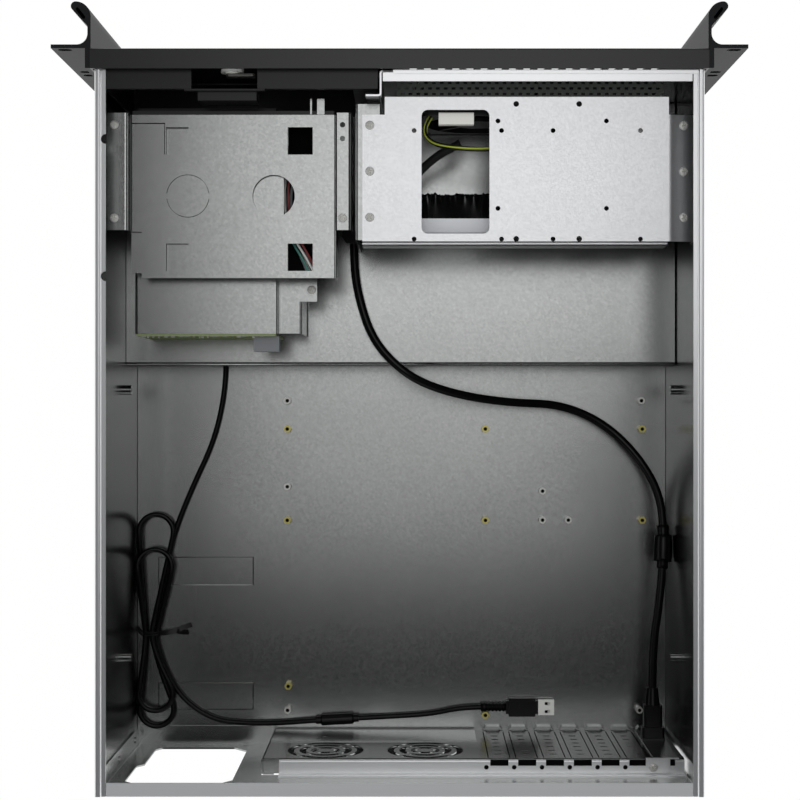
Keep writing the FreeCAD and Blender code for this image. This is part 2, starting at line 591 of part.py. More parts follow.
def front_wall():
    mid = y_body + SHEET / 2
    back_x, back_y = return_x + SHEET / 2, mid + RETURN_DEPTH
    upper = folded_sheet([(-inner_x, mid), (back_x, mid), (back_x, back_y), (return_x + 11, back_y)],
                         "XY", DECK_TOP, rim_low - 0.6)
    lower = box(-inner_x, inner_x, y_body, y_wall, SHEET, DECK_TOP)
    lip_x = body_x - RIM_WIDTH - 0.7
    lip = folded_sheet([(mid, rim_low - 12), (mid, rim_top - RIM_STEP - SHEET / 2),
                        (mid + 7.6, rim_top - RIM_STEP - SHEET / 2)], "YZ", -lip_x, return_x - 1)
    cuts = []
    for x in vent_x:
        for z in vent_z:
            cuts.append(box(x - VENT_SLOT[0] / 2, x + VENT_SLOT[0] / 2, y_body - 1, y_wall + 1,
                            z - VENT_SLOT[1] / 2, z + VENT_SLOT[1] / 2))
    cuts.append(box(light_x[0], port_x[1] + BLOCK_END, y_body - 1, y_wall + 1,
                    BUTTON_Z - GATE_HEIGHT / 2, BUTTON_Z + GATE_HEIGHT / 2))
    return upper.fuse([lower, lip]).cut(cuts).removeSplitter()


save("front_wall", front_wall())


def front_bezel():
    """Painted tray whose flanges reach back to the body, open for the door, vents and controls."""
    half = bezel_x
    tray = box(-half, half, y_bezel, y_body, 0, CASE_HEIGHT)
    tray = tray.makeFillet(1.2, [e for e in tray.Edges if abs(e.CenterOfMass.y - y_bezel) < 0.1])
    inside = box(-half + BEZEL_SHEET, half - BEZEL_SHEET, y_bezel_back, y_body + 1,
                 BEZEL_SHEET, CASE_HEIGHT - BEZEL_SHEET)
    cuts = [inside, box(door_left - DOOR_GAP, door_right + DOOR_GAP, y_bezel - 1, y_bezel_back + 1,
                        DOOR_BOTTOM - DOOR_GAP, door_top + DOOR_GAP)]
    low = vent_z[0] - VENT_SLOT[1] / 2
    high = vent_z[-1] + VENT_SLOT[1] / 2
    for i in range(vent_columns // 2):
        x = vent_centre_x + (i - (vent_columns / 2 - 1) / 2) * 2 * VENT_PITCH
        cuts.append(box(x - 2.6, x + 2.6, y_bezel - 1, y_bezel_back + 1, low, high))
    cuts.append(rod((power_x, y_bezel - 1, BUTTON_Z), (power_x, y_bezel_back + 1, BUTTON_Z), POWER_R + 0.4))
    cuts.append(rod((reset_x, y_bezel - 1, BUTTON_Z), (reset_x, y_bezel_back + 1, BUTTON_Z), RESET_R + 0.4))
    for x in light_x:
        cuts.append(rod((x, y_bezel - 1, BUTTON_Z), (x, y_bezel_back + 1, BUTTON_Z), 1.6))
    for x in port_x:
        cuts.append(box(x - PORT[0] / 2 - 0.7, x + PORT[0] / 2 + 0.7, y_bezel - 1, y_bezel_back + 1,
                        BUTTON_Z - PORT[1] / 2 - 0.7, BUTTON_Z + PORT[1] / 2 + 0.7))
    return tray.cut(cuts)


save("front_bezel", front_bezel())


def ear_handle():
    """Extruded section of one side: flange, rack ear, neck and the curled grip."""
    flange = bezel_x
    outer = flange + EAR_FLANGE
    neck_in = flange - 0.55
    neck_out = neck_in + NECK
    ear_back = y_bezel + 0.1
    ear_face = ear_back - EAR_SHEET
    tip_x = RACK_WIDTH / 2
    angle = math.radians(HORN_ANGLE)
    crown = (neck_in + HORN_CROWN, y_front + HORN_CROWN)
    tip = (neck_in + HORN_CROWN, y_front + HORN_TIP)
    side = (math.cos(angle), math.sin(angle))               # outward normal of the horn's underside
    leave = (tip[0] + HORN_TIP * side[0], tip[1] + HORN_TIP * side[1])
    run = (leave[0] - neck_out) / math.sin(angle)
    meet = (neck_out, leave[1] + run * math.cos(angle))

    def point(pair):
        return V(pair[0], pair[1], 0)

    def on_circle(centre, radius, degrees):
        turn = math.radians(degrees)
        return V(centre[0] + radius * math.cos(turn), centre[1] + radius * math.sin(turn), 0)

    fillet = (neck_out + EAR_FILLET, ear_face - EAR_FILLET)
    corners = [(flange, y_body - 0.2), (outer, y_body - 0.2), (outer, ear_back), (tip_x, ear_back),
               (tip_x, ear_face), (neck_out + EAR_FILLET, ear_face)]
    edges = [Part.makeLine(point(a), point(b)) for a, b in zip(corners, corners[1:])]
    edges.append(Part.Arc(point(corners[-1]), on_circle(fillet, EAR_FILLET, 135),
                          point((neck_out, ear_face - EAR_FILLET))).toShape())
    edges.append(Part.makeLine(point((neck_out, ear_face - EAR_FILLET)), point(meet)))
    edges.append(Part.makeLine(point(meet), point(leave)))
    front = V(tip[0], y_front, 0)
    edges.append(Part.Arc(point(leave), on_circle(tip, HORN_TIP, HORN_ANGLE / 2 - 45), front).toShape())
    edges.append(Part.Arc(front, on_circle(crown, HORN_CROWN, 225), V(neck_in, crown[1], 0)).toShape())
    closing = [(neck_in, crown[1]), (neck_in, y_bezel), (flange, y_bezel), corners[0]]
    edges += [Part.makeLine(point(a), point(b)) for a, b in zip(closing, closing[1:])]
    solid = Part.Face(Part.Wire(edges)).extrude(V(0, 0, CASE_HEIGHT))
    groove_a = V(crown[0] - 5.6, crown[1] + 0.6, -1)
    groove_b = V(crown[0] - 1.2, crown[1] - 5.2, -1)
    groove = Part.makeCylinder(1.1, CASE_HEIGHT + 2, groove_a)
    groove = groove.fuse(Part.makeCylinder(1.1, CASE_HEIGHT + 2, groove_b))
    across = V(groove_b.y - groove_a.y, groove_a.x - groove_b.x, 0).normalize() * 1.1
    web = Part.makePolygon([groove_a + across, groove_b + across, groove_b - across, groove_a - across,
                            groove_a + across])
    groove = groove.fuse(Part.Face(web).extrude(V(0, 0, CASE_HEIGHT + 2)))
    cuts = [groove.removeSplitter()]
    middle = CASE_HEIGHT / 2
    for z in (SLOT_EDGE, middle - SLOT_PITCH / 2, middle + SLOT_PITCH / 2, CASE_HEIGHT - SLOT_EDGE):
        reach = (SLOT_LENGTH - SLOT_HEIGHT) / 2
        x = tip_x - SLOT_INSET
        slot = rounded_box(x - SLOT_LENGTH / 2, x + SLOT_LENGTH / 2, ear_face - 1, ear_back + 1,
                           z - SLOT_HEIGHT / 2, z + SLOT_HEIGHT / 2, SLOT_HEIGHT / 2 - 0.01, "Y")
        cuts.append(slot)
    return solid.cut(cuts)


right_ear = ear_handle()
save("ear_handle_right", right_ear)
save("ear_handle_left", right_ear.mirror(V(0, 0, 0), V(1, 0, 0)))


# ---- Door, its hinge and its lock ------------------------------------------------------
def front_door():
    plate = box(door_left, door_right, y_bezel, y_bezel + DOOR_SHEET, hinge_z, door_top)
    barrel = rod((door_left, hinge_y, hinge_z), (door_right, hinge_y, hinge_z), HINGE_BARREL_R)
    back = y_bezel + DOOR_SHEET
    rim_z = hinge_z + 4
    flanges = [box(door_left, door_left + SHEET, back, back + 6, rim_z, door_top),
               box(door_right - SHEET, door_right, back, back + 6, rim_z, door_top),
               box(door_left, door_right, back, back + 6, door_top - SHEET, door_top)]
    door = plate.fuse([barrel] + flanges).removeSplitter()
    cuts = [rod((door_x, y_bezel - 1, lock_z), (door_x, back + 1, lock_z), LOCK_R + 0.05)]
    for x, sign in ((door_left, 1), (door_right, -1)):
        cuts.append(rod((x - sign, hinge_y, hinge_z), (x + sign * 8, hinge_y, hinge_z),
                        PIN_R + PIN_CLEARANCE))
    return door.cut(cuts)


def door_frame():
    """Moulded frame round the door's opening, with a notch over the lock."""
    x0, x1 = door_left - FRAME_SIDES[0], door_right + FRAME_SIDES[1]
    y0, y1 = y_bezel_back, y_bezel_back + FRAME_DEPTH
    low_z, high_z = DECK_TOP, frame_top
    ring = box(x0, x1, y0, y1, low_z, high_z)
    opening = box(door_left - DOOR_GAP, door_right + DOOR_GAP, y0 - 1, y1 + 1,
                  DOOR_BOTTOM - DOOR_GAP, door_top + DOOR_GAP)
    notch = box(lock_notch_x[0], lock_notch_x[1], y0 + 5, y1 + 1, door_top - 1, high_z + 1)
    boss = box(return_x + 4, return_x + 12, y1, y_body + RETURN_DEPTH, frame_top - 26, frame_top - 14)
    frame = ring.cut([opening, notch]).fuse(boss)
    cuts = []
    for x, sign in ((door_left, -1), (door_right, 1)):
        cuts.append(rod((x, hinge_y, hinge_z), (x + sign * 6, hinge_y, hinge_z), PIN_R))
    return frame.cut(cuts).removeSplitter()


lock_notch_x = (door_x - LOCK_ROOM[0], door_x + LOCK_ROOM[1])
save("front_door", front_door())
save("door_frame", door_frame())
pins = [rod((door_left - 6, hinge_y, hinge_z), (door_left + 7, hinge_y, hinge_z), PIN_R),
        rod((door_right + 3.5, hinge_y, hinge_z), (door_right - 7, hinge_y, hinge_z), PIN_R)]
save("hinge_pins", Part.makeCompound(pins))

lock_rear = y_bezel + DOOR_SHEET + 10
barrel = rod((door_x, y_bezel, lock_z), (door_x, lock_rear, lock_z), LOCK_R)
flange = rod((door_x, y_bezel - 1.4, lock_z), (door_x, y_bezel, lock_z), LOCK_R + 2)
bore = rod((door_x, y_bezel - 3, lock_z), (door_x, lock_rear + 1, lock_z), PLUG_R + PIN_CLEARANCE)
nut = prism(hexagon(door_x, lock_z, LOCK_R + 2.3), "XZ", y_bezel + DOOR_SHEET, y_bezel + DOOR_SHEET + 3)
save("lock_barrel", barrel.fuse([flange, nut]).cut(bore).removeSplitter())
plug = rod((door_x, y_bezel - 1.8, lock_z), (door_x, lock_rear + 1, lock_z), PLUG_R)
keyway = box(door_x - 0.7, door_x + 0.7, y_bezel - 3, y_bezel + 1, lock_z - 3, lock_z + 3)
save("lock_plug", plug.cut(keyway))
cam = rounded_box(door_x - CAM_LENGTH, door_x + CAM_WIDTH / 2, lock_rear + 1, lock_rear + 3,
                  lock_z - CAM_WIDTH / 2, lock_z + CAM_WIDTH / 2, 2.0, "Y")
save("lock_cam", cam)
# Cover strip over the lock's room, clipped to the frame's rear.
guard_y = y_bezel_back + FRAME_DEPTH
guard = box(lock_notch_x[0] - 5, lock_notch_x[1] + 5, guard_y, guard_y + SHEET,
            door_top + 2, frame_top - 0.5)
hood = box(lock_notch_x[0] + 1, lock_notch_x[1] - 4, guard_y, guard_y + 7.4, lock_z - 6, frame_top - 4)
save("lock_guard", guard.fuse(hood).removeSplitter())


# ---- Front controls --------------------------------------------------------------------
def control_block():
    block = box(power_x - BLOCK_START, port_x[1] + BLOCK_END, y_bezel_back, y_body,
                BUTTON_Z - BLOCK_HEIGHT / 2, BUTTON_Z + BLOCK_HEIGHT / 2)
    cuts = [rod((power_x, y_bezel_back - 1, BUTTON_Z), (power_x, y_body - 4, BUTTON_Z), POWER_R + 1.8),
            rod((reset_x, y_bezel_back - 1, BUTTON_Z), (reset_x, y_body - 4, BUTTON_Z), RESET_R + 1.8)]
    for x in light_x:
        cuts.append(rod((x, y_bezel_back - 1, BUTTON_Z), (x, y_bezel_back + 6, BUTTON_Z), LIGHT_R))
    for x in port_x:
        cuts.append(box(x - PORT[0] / 2, x + PORT[0] / 2, y_bezel_back - 1, y_body - 0.5,
                        BUTTON_Z - PORT[1] / 2, BUTTON_Z + PORT[1] / 2))
    return block.cut(cuts)


def push_button(x, radius):
    cap = rod((x, y_bezel - 1.2, BUTTON_Z), (x, y_body - 6.5, BUTTON_Z), radius)
    skirt = rod((x, y_bezel_back + FIT, BUTTON_Z), (x, y_bezel_back + FIT + 1.2, BUTTON_Z), radius + 1.2)
    return cap.fuse(skirt).removeSplitter()


save("control_block", control_block())
save("power_button", push_button(power_x, POWER_R))
save("reset_button", push_button(reset_x, RESET_R))
save("status_lights", Part.makeCompound([
    rod((x, y_bezel - 0.6, BUTTON_Z), (x, y_bezel_back + 6, BUTTON_Z), LIGHT_R) for x in light_x]))
shells = []
for x in port_x:
    can = box(x - PORT[0] / 2, x + PORT[0] / 2, y_bezel - 0.3, y_body - 0.5,
              BUTTON_Z - PORT[1] / 2, BUTTON_Z + PORT[1] / 2)
    room = box(x - PORT[0] / 2 + 0.4, x + PORT[0] / 2 - 0.4, y_bezel - 1, y_body - 2,
               BUTTON_Z - PORT[1] / 2 + 0.4, BUTTON_Z + PORT[1] / 2 - 0.4)
    tongue = box(x - 5.6, x + 5.6, y_bezel + 1, y_body - 2, BUTTON_Z + 0.2, BUTTON_Z + 2.0)
    shells.append(can.cut(room).fuse(tongue).removeSplitter())
save("usb_ports", Part.makeCompound(shells))


# ---- Deck, drive plate and its carriers ------------------------------------------------
def deck():
    top = DECK_TOP - SHEET / 2
    path = [(y_wall + SHEET / 2, top - 12), (y_wall + SHEET / 2, top), (deck_rear - SHEET / 2, top),
            (deck_rear - SHEET / 2, 1.5 * SHEET), (deck_rear - DECK_FOOT, 1.5 * SHEET)]
    shell = folded_sheet(path, "YZ", -inner_x + 1, inner_x - FIT, bend=1.5)
    gate_x = USB_IN_ROUTE[0][0]                         # the thin lead leaves through here
    gate = box(gate_x - CABLE_GATE[0] / 2, gate_x + CABLE_GATE[0] / 2,
               deck_rear - DECK_FOOT - 1, deck_rear + 1, 0, SHEET + CABLE_GATE[1])
    return shell.cut(gate)


save("deck", deck())
slope = math.tan(math.radians(PLATE_SLOPE))
margin = inner_x - FIT + plate_x[0]                     # width of the sloping margin
screw_y = (plate_y[0] + PLATE_SCREW_EDGE, (plate_y[0] + plate_y[1]) / 2, plate_y[1] - PLATE_SCREW_EDGE)
level_screws = [(plate_x[1] - 5.3, y) for y in screw_y]
sloping_screws = [(-inner_x + PLATE_MARGIN / 2, y) for y in screw_y]


def drive_plate():
    x0, x1 = plate_x
    mid = PLATE_TOP - SHEET / 2
    top = folded_sheet([(x1, mid), (x0, mid), (x0 - margin, mid - margin * slope)], "XZ",
                       plate_y[0], plate_y[1] - 3, bend=12)
    lip = folded_sheet([(plate_y[1] - 12, mid), (plate_y[1] - SHEET / 2, mid),
                        (plate_y[1] - SHEET / 2, mid - PLATE_LIP)], "YZ", x0 + 2, x1, bend=3)
    plate = top.fuse(lip).removeSplitter()
    under, over = PLATE_TOP - 13, PLATE_TOP + 7
    window_y = (plate_y[0] + WINDOW_MARGINS[0], plate_y[1] - WINDOW_MARGINS[1])
    window_x = (x1 - WINDOW_INSET - WINDOW_WIDTH, x1 - WINDOW_INSET)
    cuts = [box(return_x - NOTCH_GAP, x1 + 1, plate_y[0] - 1, plate_y[0] + PLATE_NOTCH, under, over),
            box(-inner_x - 1, x0 + 1, plate_y[0] - 1, plate_y[0] + PLATE_NOTCH, under, over),
            rounded_box(*window_x, *window_y, under, over, WINDOW_CORNER)]
    patterns = [(inset, SMALL_DRIVE, DRIVE_HOLE_R) for inset in SMALL_HOLES]
    patterns.append((TURNED_HOLES, SMALL_DRIVE[::-1], DRIVE_HOLE_R))
    patterns.append((LARGE_HOLES, LARGE_DRIVE, DRIVE_HOLE_R + 0.3))
    for (in_x, in_y), (across, back), radius in patterns:
        corners = [(x1 - in_x - i * across, plate_y[0] + in_y + j * back) for i in (0, 1) for j in (0, 1)]
        cuts += holes_z(corners, radius, PLATE_TOP - 5, PLATE_TOP + 5)
    cuts += holes_z(level_screws + sloping_screws, 2.0, under, over)
    return plate.cut(cuts)


def partition():
    under = PLATE_TOP - 1.5 * SHEET
    x = partition_x - SHEET / 2
    foot = DECK_TOP + SHEET / 2
    web = folded_sheet([(x - 11, foot), (x, foot), (x, under), (x - 17, under)], "XZ",
                       y_wall + RETURN_DEPTH + 2, plate_y[1] - 4)
    holes = holes_z(level_screws, 1.6, PLATE_TOP - 13, PLATE_TOP)
    for i in range(WEB_WINDOWS):
        y = plate_y[0] + WEB_EDGE + i * WEB_PITCH
        holes.append(box(x - 2, x + 2, y, y + WEB_WINDOW, PLATE_TOP - 33, PLATE_TOP - 13))
    return web.cut(holes)


def plate_rail():
    """Carrier on the left side wall, under the sloping margin of the drive plate."""
    mid = PLATE_TOP - SHEET / 2
    wall_x = -inner_x + SHEET / 2
    drop = (SHEET + FIT) / math.cos(math.radians(PLATE_SLOPE))
    inner = plate_x[0] - 3
    high = mid - (plate_x[0] - inner) * slope - drop
    low = mid - (plate_x[0] - wall_x) * slope - drop
    rail = folded_sheet([(inner, high), (wall_x, low), (wall_x, low - 24)], "XZ",
                        plate_y[0] + PLATE_NOTCH, plate_y[1] - 4)
    return rail.cut(holes_z(sloping_screws, 2.1, PLATE_TOP - 13, PLATE_TOP))


save("drive_plate", drive_plate())
save("partition", partition())
save("plate_rail", plate_rail())
slope_z = PLATE_TOP - PLATE_MARGIN / 2 * slope + 0.05
plate_screws = [screw(x, y, PLATE_TOP) for x, y in level_screws]
plate_screws += [screw(x, y, slope_z, -PLATE_SLOPE) for x, y in sloping_screws]


# ---- Drive cage, bay and what stands in it ---------------------------------------------
def drive_cage():
    """Slim cage for the top bay: a tray upside down, with windows and two knock-outs."""
    x0, x1 = cage_x
    mid = CAGE_TOP - SHEET / 2
    low = BAY_TOP + FIT
    left, right = x0 + SHEET / 2, x1 - SHEET / 2
    shell = folded_sheet([(left, low), (left, mid), (right, mid), (right, low)],
                         "XZ", cage_y[0], cage_y[1])
    over, under = CAGE_TOP + 1, CAGE_TOP - 3
    right = x1 - CAGE_WINDOW_INSET[0]
    left = x0 + CAGE_WINDOW_INSET[1]
    front = cage_y[0] + CAGE_WINDOW_EDGE[0]
    rear = cage_y[1] - CAGE_WINDOW_EDGE[1]
    cuts = []
    for a, b in ((right - CAGE_WINDOW[0], right), (left, left + CAGE_WINDOW[0] + 1.7)):
        cuts.append(box(a, b, front, front + CAGE_WINDOW[1], under, over))
        cuts.append(box(a, b, rear - CAGE_WINDOW[1], rear, under, over))
    cuts.append(box(x1 - 8.9, x1 + 1, cage_y[1] - 32.8, cage_y[1] + 1, low - 1, over))
    cuts.append(box(right + 0.5, x1 + 1, front - 3, front - 2.2, under, over))
    cuts.append(box(right + 0.5, right + 1.3, front - 3, front + CAGE_WINDOW[1], under, over))
    y = (cage_y[0] + cage_y[1]) / 2 - FIT
    open_x = (x0 + x1) / 2 + KNOCKOUT_SHIFT - KNOCKOUT_PITCH / 2
    shut_x = open_x + KNOCKOUT_PITCH
    cuts.append(rod((open_x, y, under), (open_x, y, over), KNOCKOUT_R))
    ring = rod((shut_x, y, under), (shut_x, y, over), KNOCKOUT_R + 0.2)
    core = rod((shut_x, y, under - 1), (shut_x, y, over + 1), KNOCKOUT_R - 0.2)
    bridge = box(shut_x - KNOCKOUT_R - 5, shut_x + KNOCKOUT_R + 5, y - 2, y + 2, under - 1, over + 1)
    cuts.append(ring.cut([core, bridge]))
    return shell.cut(cuts)


def cage_rail_right():
    x = cage_x[1] + SHEET / 2
    mid = CAGE_TOP - SHEET / 2
    foot = DECK_TOP + SHEET / 2
    rail = folded_sheet([(inner_x - 3.2, mid), (x, mid), (x, foot), (x + 12, foot)],
                        "XZ", *rail_y, bend=2.0)
    slot = box(x - 2, x + 2, rail_y[0] + 8, rail_y[0] + 23, CAGE_TOP - 14, CAGE_TOP - 7)
    return rail.cut(holes_z(right_rail_screws, 1.6, CAGE_TOP - 4, CAGE_TOP + 1) + [slot])


def cage_rail_left():
    x = cage_x[0] - RAIL_WIDTH + SHEET / 2
    mid = CAGE_TOP - SHEET / 2
    socket_back = socket_front - SOCKET_LENGTH
    rail = folded_sheet([(cage_x[0] - 0.2, mid), (x, mid), (x, DECK_TOP)], "XZ", *rail_y, bend=2.0)
    front_holes = [(left_screw_x, rail_y[0] + RAIL_SCREW_INSET + k * 9.8) for k in (0, 1)]
    cuts = holes_z(front_holes, 1.9, CAGE_TOP - 4, CAGE_TOP + 1)
    cuts += holes_z(left_rail_screws, 1.6, CAGE_TOP - 4, CAGE_TOP + 1)
    cuts.append(box(x - 2, x + 2, socket_back - 5, rail_y[1] + 1, DECK_TOP - 1, DECK_TOP + 26))
    return rail.cut(cuts)


left_screw_x = cage_x[0] - 4.1
right_screw_x = cage_x[1] + 10.6
rail_screw_y = (rail_y[0] + RAIL_SCREW_INSET, rail_y[1] - RAIL_SCREW_INSET)
right_rail_screws = [(right_screw_x, y) for y in rail_screw_y]
left_rail_screws = [(left_screw_x, rail_screw_y[1])]


def drive_bay():
    """Housing of the two drive trays, with its lower shelf beside it."""
    x0, x1 = bay_x
    mid = BAY_TOP - SHEET / 2
    shell = folded_sheet([(x0 + SHEET / 2, DECK_TOP), (x0 + SHEET / 2, mid), (x1 - SHEET / 2, mid),
                          (x1 - SHEET / 2, DECK_TOP)], "XZ", bay_y[0], bay_y[1])
    runners = []
    for z in tray_z:
        for a, b in ((x0 + SHEET, x0 + SHEET + 3), (x1 - SHEET - 3, x1 - SHEET)):
            runners.append(box(a, b, bay_y[0] + 4, bay_y[1] - 14, z - 1.5, z))
    return shell.fuse(runners).removeSplitter()


tray_pitch = (BAY_TOP - DECK_TOP - TRAY_LIFT) / 2
tray_height = tray_pitch - TRAY_GAP
tray_z = (DECK_TOP + TRAY_LIFT, DECK_TOP + TRAY_LIFT + tray_pitch)


def drive_tray(z):
    """A hot-swap tray: a moulded front on a shallow metal sled, open for the drive."""
    x0, x1 = bay_x[0] + SHEET + 0.8, bay_x[1] - SHEET - 0.8
    front = box(x0, x1, bay_y[0] - 8, bay_y[0] + 5, z, z + tray_height - 1)
    grip = box(x0 + 8, x1 - 8, bay_y[0] - 9, bay_y[0] - 4, z + 6, z + tray_height - 8)
    sled = folded_sheet([(x0 + 0.6, z + 14), (x0 + 0.6, z + 0.6), (x1 - 0.6, z + 0.6), (x1 - 0.6, z + 14)],
                        "XZ", bay_y[0] + 4, bay_y[1] - 16, bend=0.5)
    window = box(x0 + 22, x1 - 22, bay_y[0] + 30, bay_y[1] - 40, z - 1, z + 3)
    return front.cut(grip).fuse(sled.cut(window)).removeSplitter()


def duct_cover():
    x1 = bay_x[0]
    x0 = x1 - DUCT_WIDTH
    mid = DUCT_TOP - SHEET / 2
    cover = folded_sheet([(x1, mid), (x0 + SHEET / 2, mid), (x0 + SHEET / 2, DECK_TOP + SHEET / 2),
                          (x0 - 9, DECK_TOP + SHEET / 2)], "XZ", bay_y[1] - DUCT_DEPTH, bay_y[1] - 0.6)
    tab = box(x0 - 11, x0 + 2, tab_screw[1] - 8.5, tab_screw[1] + 8.5, DUCT_TOP - SHEET, DUCT_TOP)
    return cover.fuse(tab).cut(holes_z([tab_screw], 1.6, DUCT_TOP - 3, DUCT_TOP + 1)).removeSplitter()


tab_screw = (bay_x[0] - DUCT_WIDTH - 7, bay_y[1] - 32.3)
save("drive_cage", drive_cage())
save("cage_rail_right", cage_rail_right())
save("cage_rail_left", cage_rail_left())
save("drive_bay", drive_bay())
save("drive_tray_lower", drive_tray(tray_z[0]))
save("drive_tray_upper", drive_tray(tray_z[1]))
save("duct_cover", duct_cover())
cage_screws = [screw(x, y, CAGE_TOP) for x, y in right_rail_screws + left_rail_screws]
cage_screws.append(screw(*tab_screw, DUCT_TOP))
save("pan_screws", Part.makeCompound(plate_screws + cage_screws + [bracket_screw]))
board = box(bay_x[0] + 2, bay_x[1] - 1, bay_y[1], bay_y[1] + 1.6, DECK_TOP + 2, BAY_TOP - 1)
save("backplane_board", board)
power_plug = box(bay_x[0], bay_x[0] + 18.6, bay_y[1] + 1.6, bay_y[1] + 12.6, BAY_TOP - 18, BAY_TOP - 7)
for i in range(4):                                      # its four contact rooms
    room_x = bay_x[0] + 1.8 + i * 4.4
    power_plug = power_plug.cut(box(room_x, room_x + 2.8, bay_y[1] + 5, bay_y[1] + 13,
                                    BAY_TOP - 16, BAY_TOP - 9))
save("backplane_connector", power_plug)
save("bay_cover", rounded_box(cage_x[0] + SHEET + FIT, cage_x[1] - SHEET - FIT, cage_y[0] - 3, cage_y[0],
                              BAY_TOP + FIT, CAGE_TOP - SHEET - FIT, 1.0, "Y"))


# ---- Front fans ------------------------------------------------------------------------
def fan_frame(x):
    half = FAN_SIZE / 2
    z = fan_z
    y0, y1 = y_wall, y_wall + FAN_DEPTH
    frame = rounded_box(x - half, x + half, y0, y1, z - half, z + half, 4.0, "Y")
    frame = frame.cut(rod((x, y0 - 1, z), (x, y1 + 1, z), FAN_BORE_R))
    struts = [rod((x, y1 - 3, z), (x, y1, z), FAN_HUB_R)]
    for i in range(4):
        strut = box(x, x + FAN_BORE_R + 1, y1 - 3, y1 - 0.5, z - 1.6, z + 1.6)
        strut.rotate(V(x, 0, z), V(0, 1, 0), 45 + 90 * i)
        struts.append(strut)
    frame = frame.fuse(struts).removeSplitter()
    cuts = [rod((x, y1 - 8, z), (x, y1 - 1, z), SHAFT_R + PIN_CLEARANCE)]
    for a in (-1, 1):
        for b in (-1, 1):
            hole_x, hole_z = x + a * FAN_HOLE, z + b * FAN_HOLE
            cuts.append(rod((hole_x, y0 - 1, hole_z), (hole_x, y1 + 1, hole_z), 2.2))
    return frame.cut(cuts)


def fan_rotor(x):
    z = fan_z
    y0, y1 = y_wall + 2.5, y_wall + FAN_DEPTH - 3.8
    mid = (y0 + y1) / 2
    tip = FAN_BORE_R - FAN_TIP_GAP - 1.3
    hub = rod((x, y0, z), (x, y1, z), FAN_HUB_R)
    hub = hub.makeChamfer(1.2, [e for e in hub.Edges if e.Closed and e.CenterOfMass.y < y0 + 0.1])
    blades = []
    for i in range(BLADES):
        blade = box(x + FAN_HUB_R - 2, x + tip, mid - 11, mid + 11, z - 0.9, z + 0.9)
        blade.rotate(V(x, mid, z), V(1, 0, 0), 42)
        blade.rotate(V(x, 0, z), V(0, 1, 0), 360 / BLADES * i)
        blades.append(blade)
    shaft = rod((x, y1 - 1, z), (x, y_wall + FAN_DEPTH - 1.5, z), SHAFT_R)
    return hub.fuse(blades + [shaft]).removeSplitter()


for side, x in (("left", vent_centre_x - FAN_PITCH / 2), ("right", vent_centre_x + FAN_PITCH / 2)):
    save("fan_frame_" + side, fan_frame(x))
    save("fan_rotor_" + side, fan_rotor(x))


# ---- Leads -----------------------------------------------------------------------------
def lead(name, points, radius):
    """A round lead: straight runs joined by arcs as large as the runs allow."""
    route = [V(*p) for p in points]
    runs = []
    radii = []
    length = 0.0
    last = route[0]
    for before, corner, after in zip(route, route[1:], route[2:]):
        into = (corner - before).normalize()
        out = (after - corner).normalize()
        turn = math.acos(max(-1.0, min(1.0, into.dot(out))))
        trim = 0.45 * min((corner - before).Length, (after - corner).Length)
        bend = trim / math.tan(turn / 2)
        radii.append(bend)
        start = corner - into * trim
        to_centre = (out - into * into.dot(out)).normalize()
        section = Part.Face(Part.Wire(Part.makeCircle(radius, start, into)))
        runs.append(Part.makeCylinder(radius, (start - last).Length, last, into))
        runs.append(section.revolve(start + to_centre * bend, into.cross(out), math.degrees(turn)))
        length += (start - last).Length + turn * bend
        last = corner + out * trim
    runs.append(Part.makeCylinder(radius, (route[-1] - last).Length, last, route[-1] - last))
    length += (route[-1] - last).Length
    tube = runs[0].fuse(runs[1:]).removeSplitter()
    swept = math.pi * radius ** 2 * length
    print("%s: %.0f mm long, tightest bend %.1f mm, volume %.4f of its section's sweep"
          % (name, length, min(radii), tube.Volume / swept))
    save(name, tube)
    return tube


def moved(points, x, y, z):
    return [(px + x, py + y, pz + z) for px, py, pz in points]


def ringed_sleeve(a, b, body_r, neck_r, neck):
    """A moulded lump on a lead: a barrel with ribbed necks."""
    start, end = V(*a), V(*b)
    along = (end - start).normalize()
    span = (end - start).Length
    sleeve = Part.makeCylinder(neck_r, span, start, along)
    middle = Part.makeCylinder(body_r, span - 2 * neck, start + along * neck, along)
    middle = middle.makeChamfer(1.0, [e for e in middle.Edges if e.Closed and e.Length > neck_r])
    return sleeve.fuse(middle).removeSplitter()


FLOOR = SHEET
lead("heavy_lead", HEAVY_ROUTE, LEAD_R)
lead("usb_lead_in", USB_IN_ROUTE, USB_R)
lead("usb_lead_out", USB_OUT_ROUTE, USB_R)
save("heavy_ferrite", ringed_sleeve(*FERRITE_RUN, 6.6, 4.3, 5.5))
save("usb_bead", ringed_sleeve(*BEAD_RUN, 4.4, 3.0, 4.0))

# Socket on the deck and the plug that stands in it.
save("deck_socket", rounded_box(socket_x - 5.6, socket_x + 6.4, socket_front - SOCKET_LENGTH, socket_front,
                                DECK_TOP, DECK_TOP + 17, 1.0, "Y"))
save("front_plug", prism(
    [(socket_x - 4.6, socket_front), (socket_x + 5.4, socket_front), (socket_x + 6.8, socket_front + 6),
     (socket_x + 2.6, plug_end), (socket_x - 5.8, plug_end), (socket_x - 5.8, socket_front + 6)],
    "XY", DECK_TOP + 3.5, DECK_TOP + 14.5))


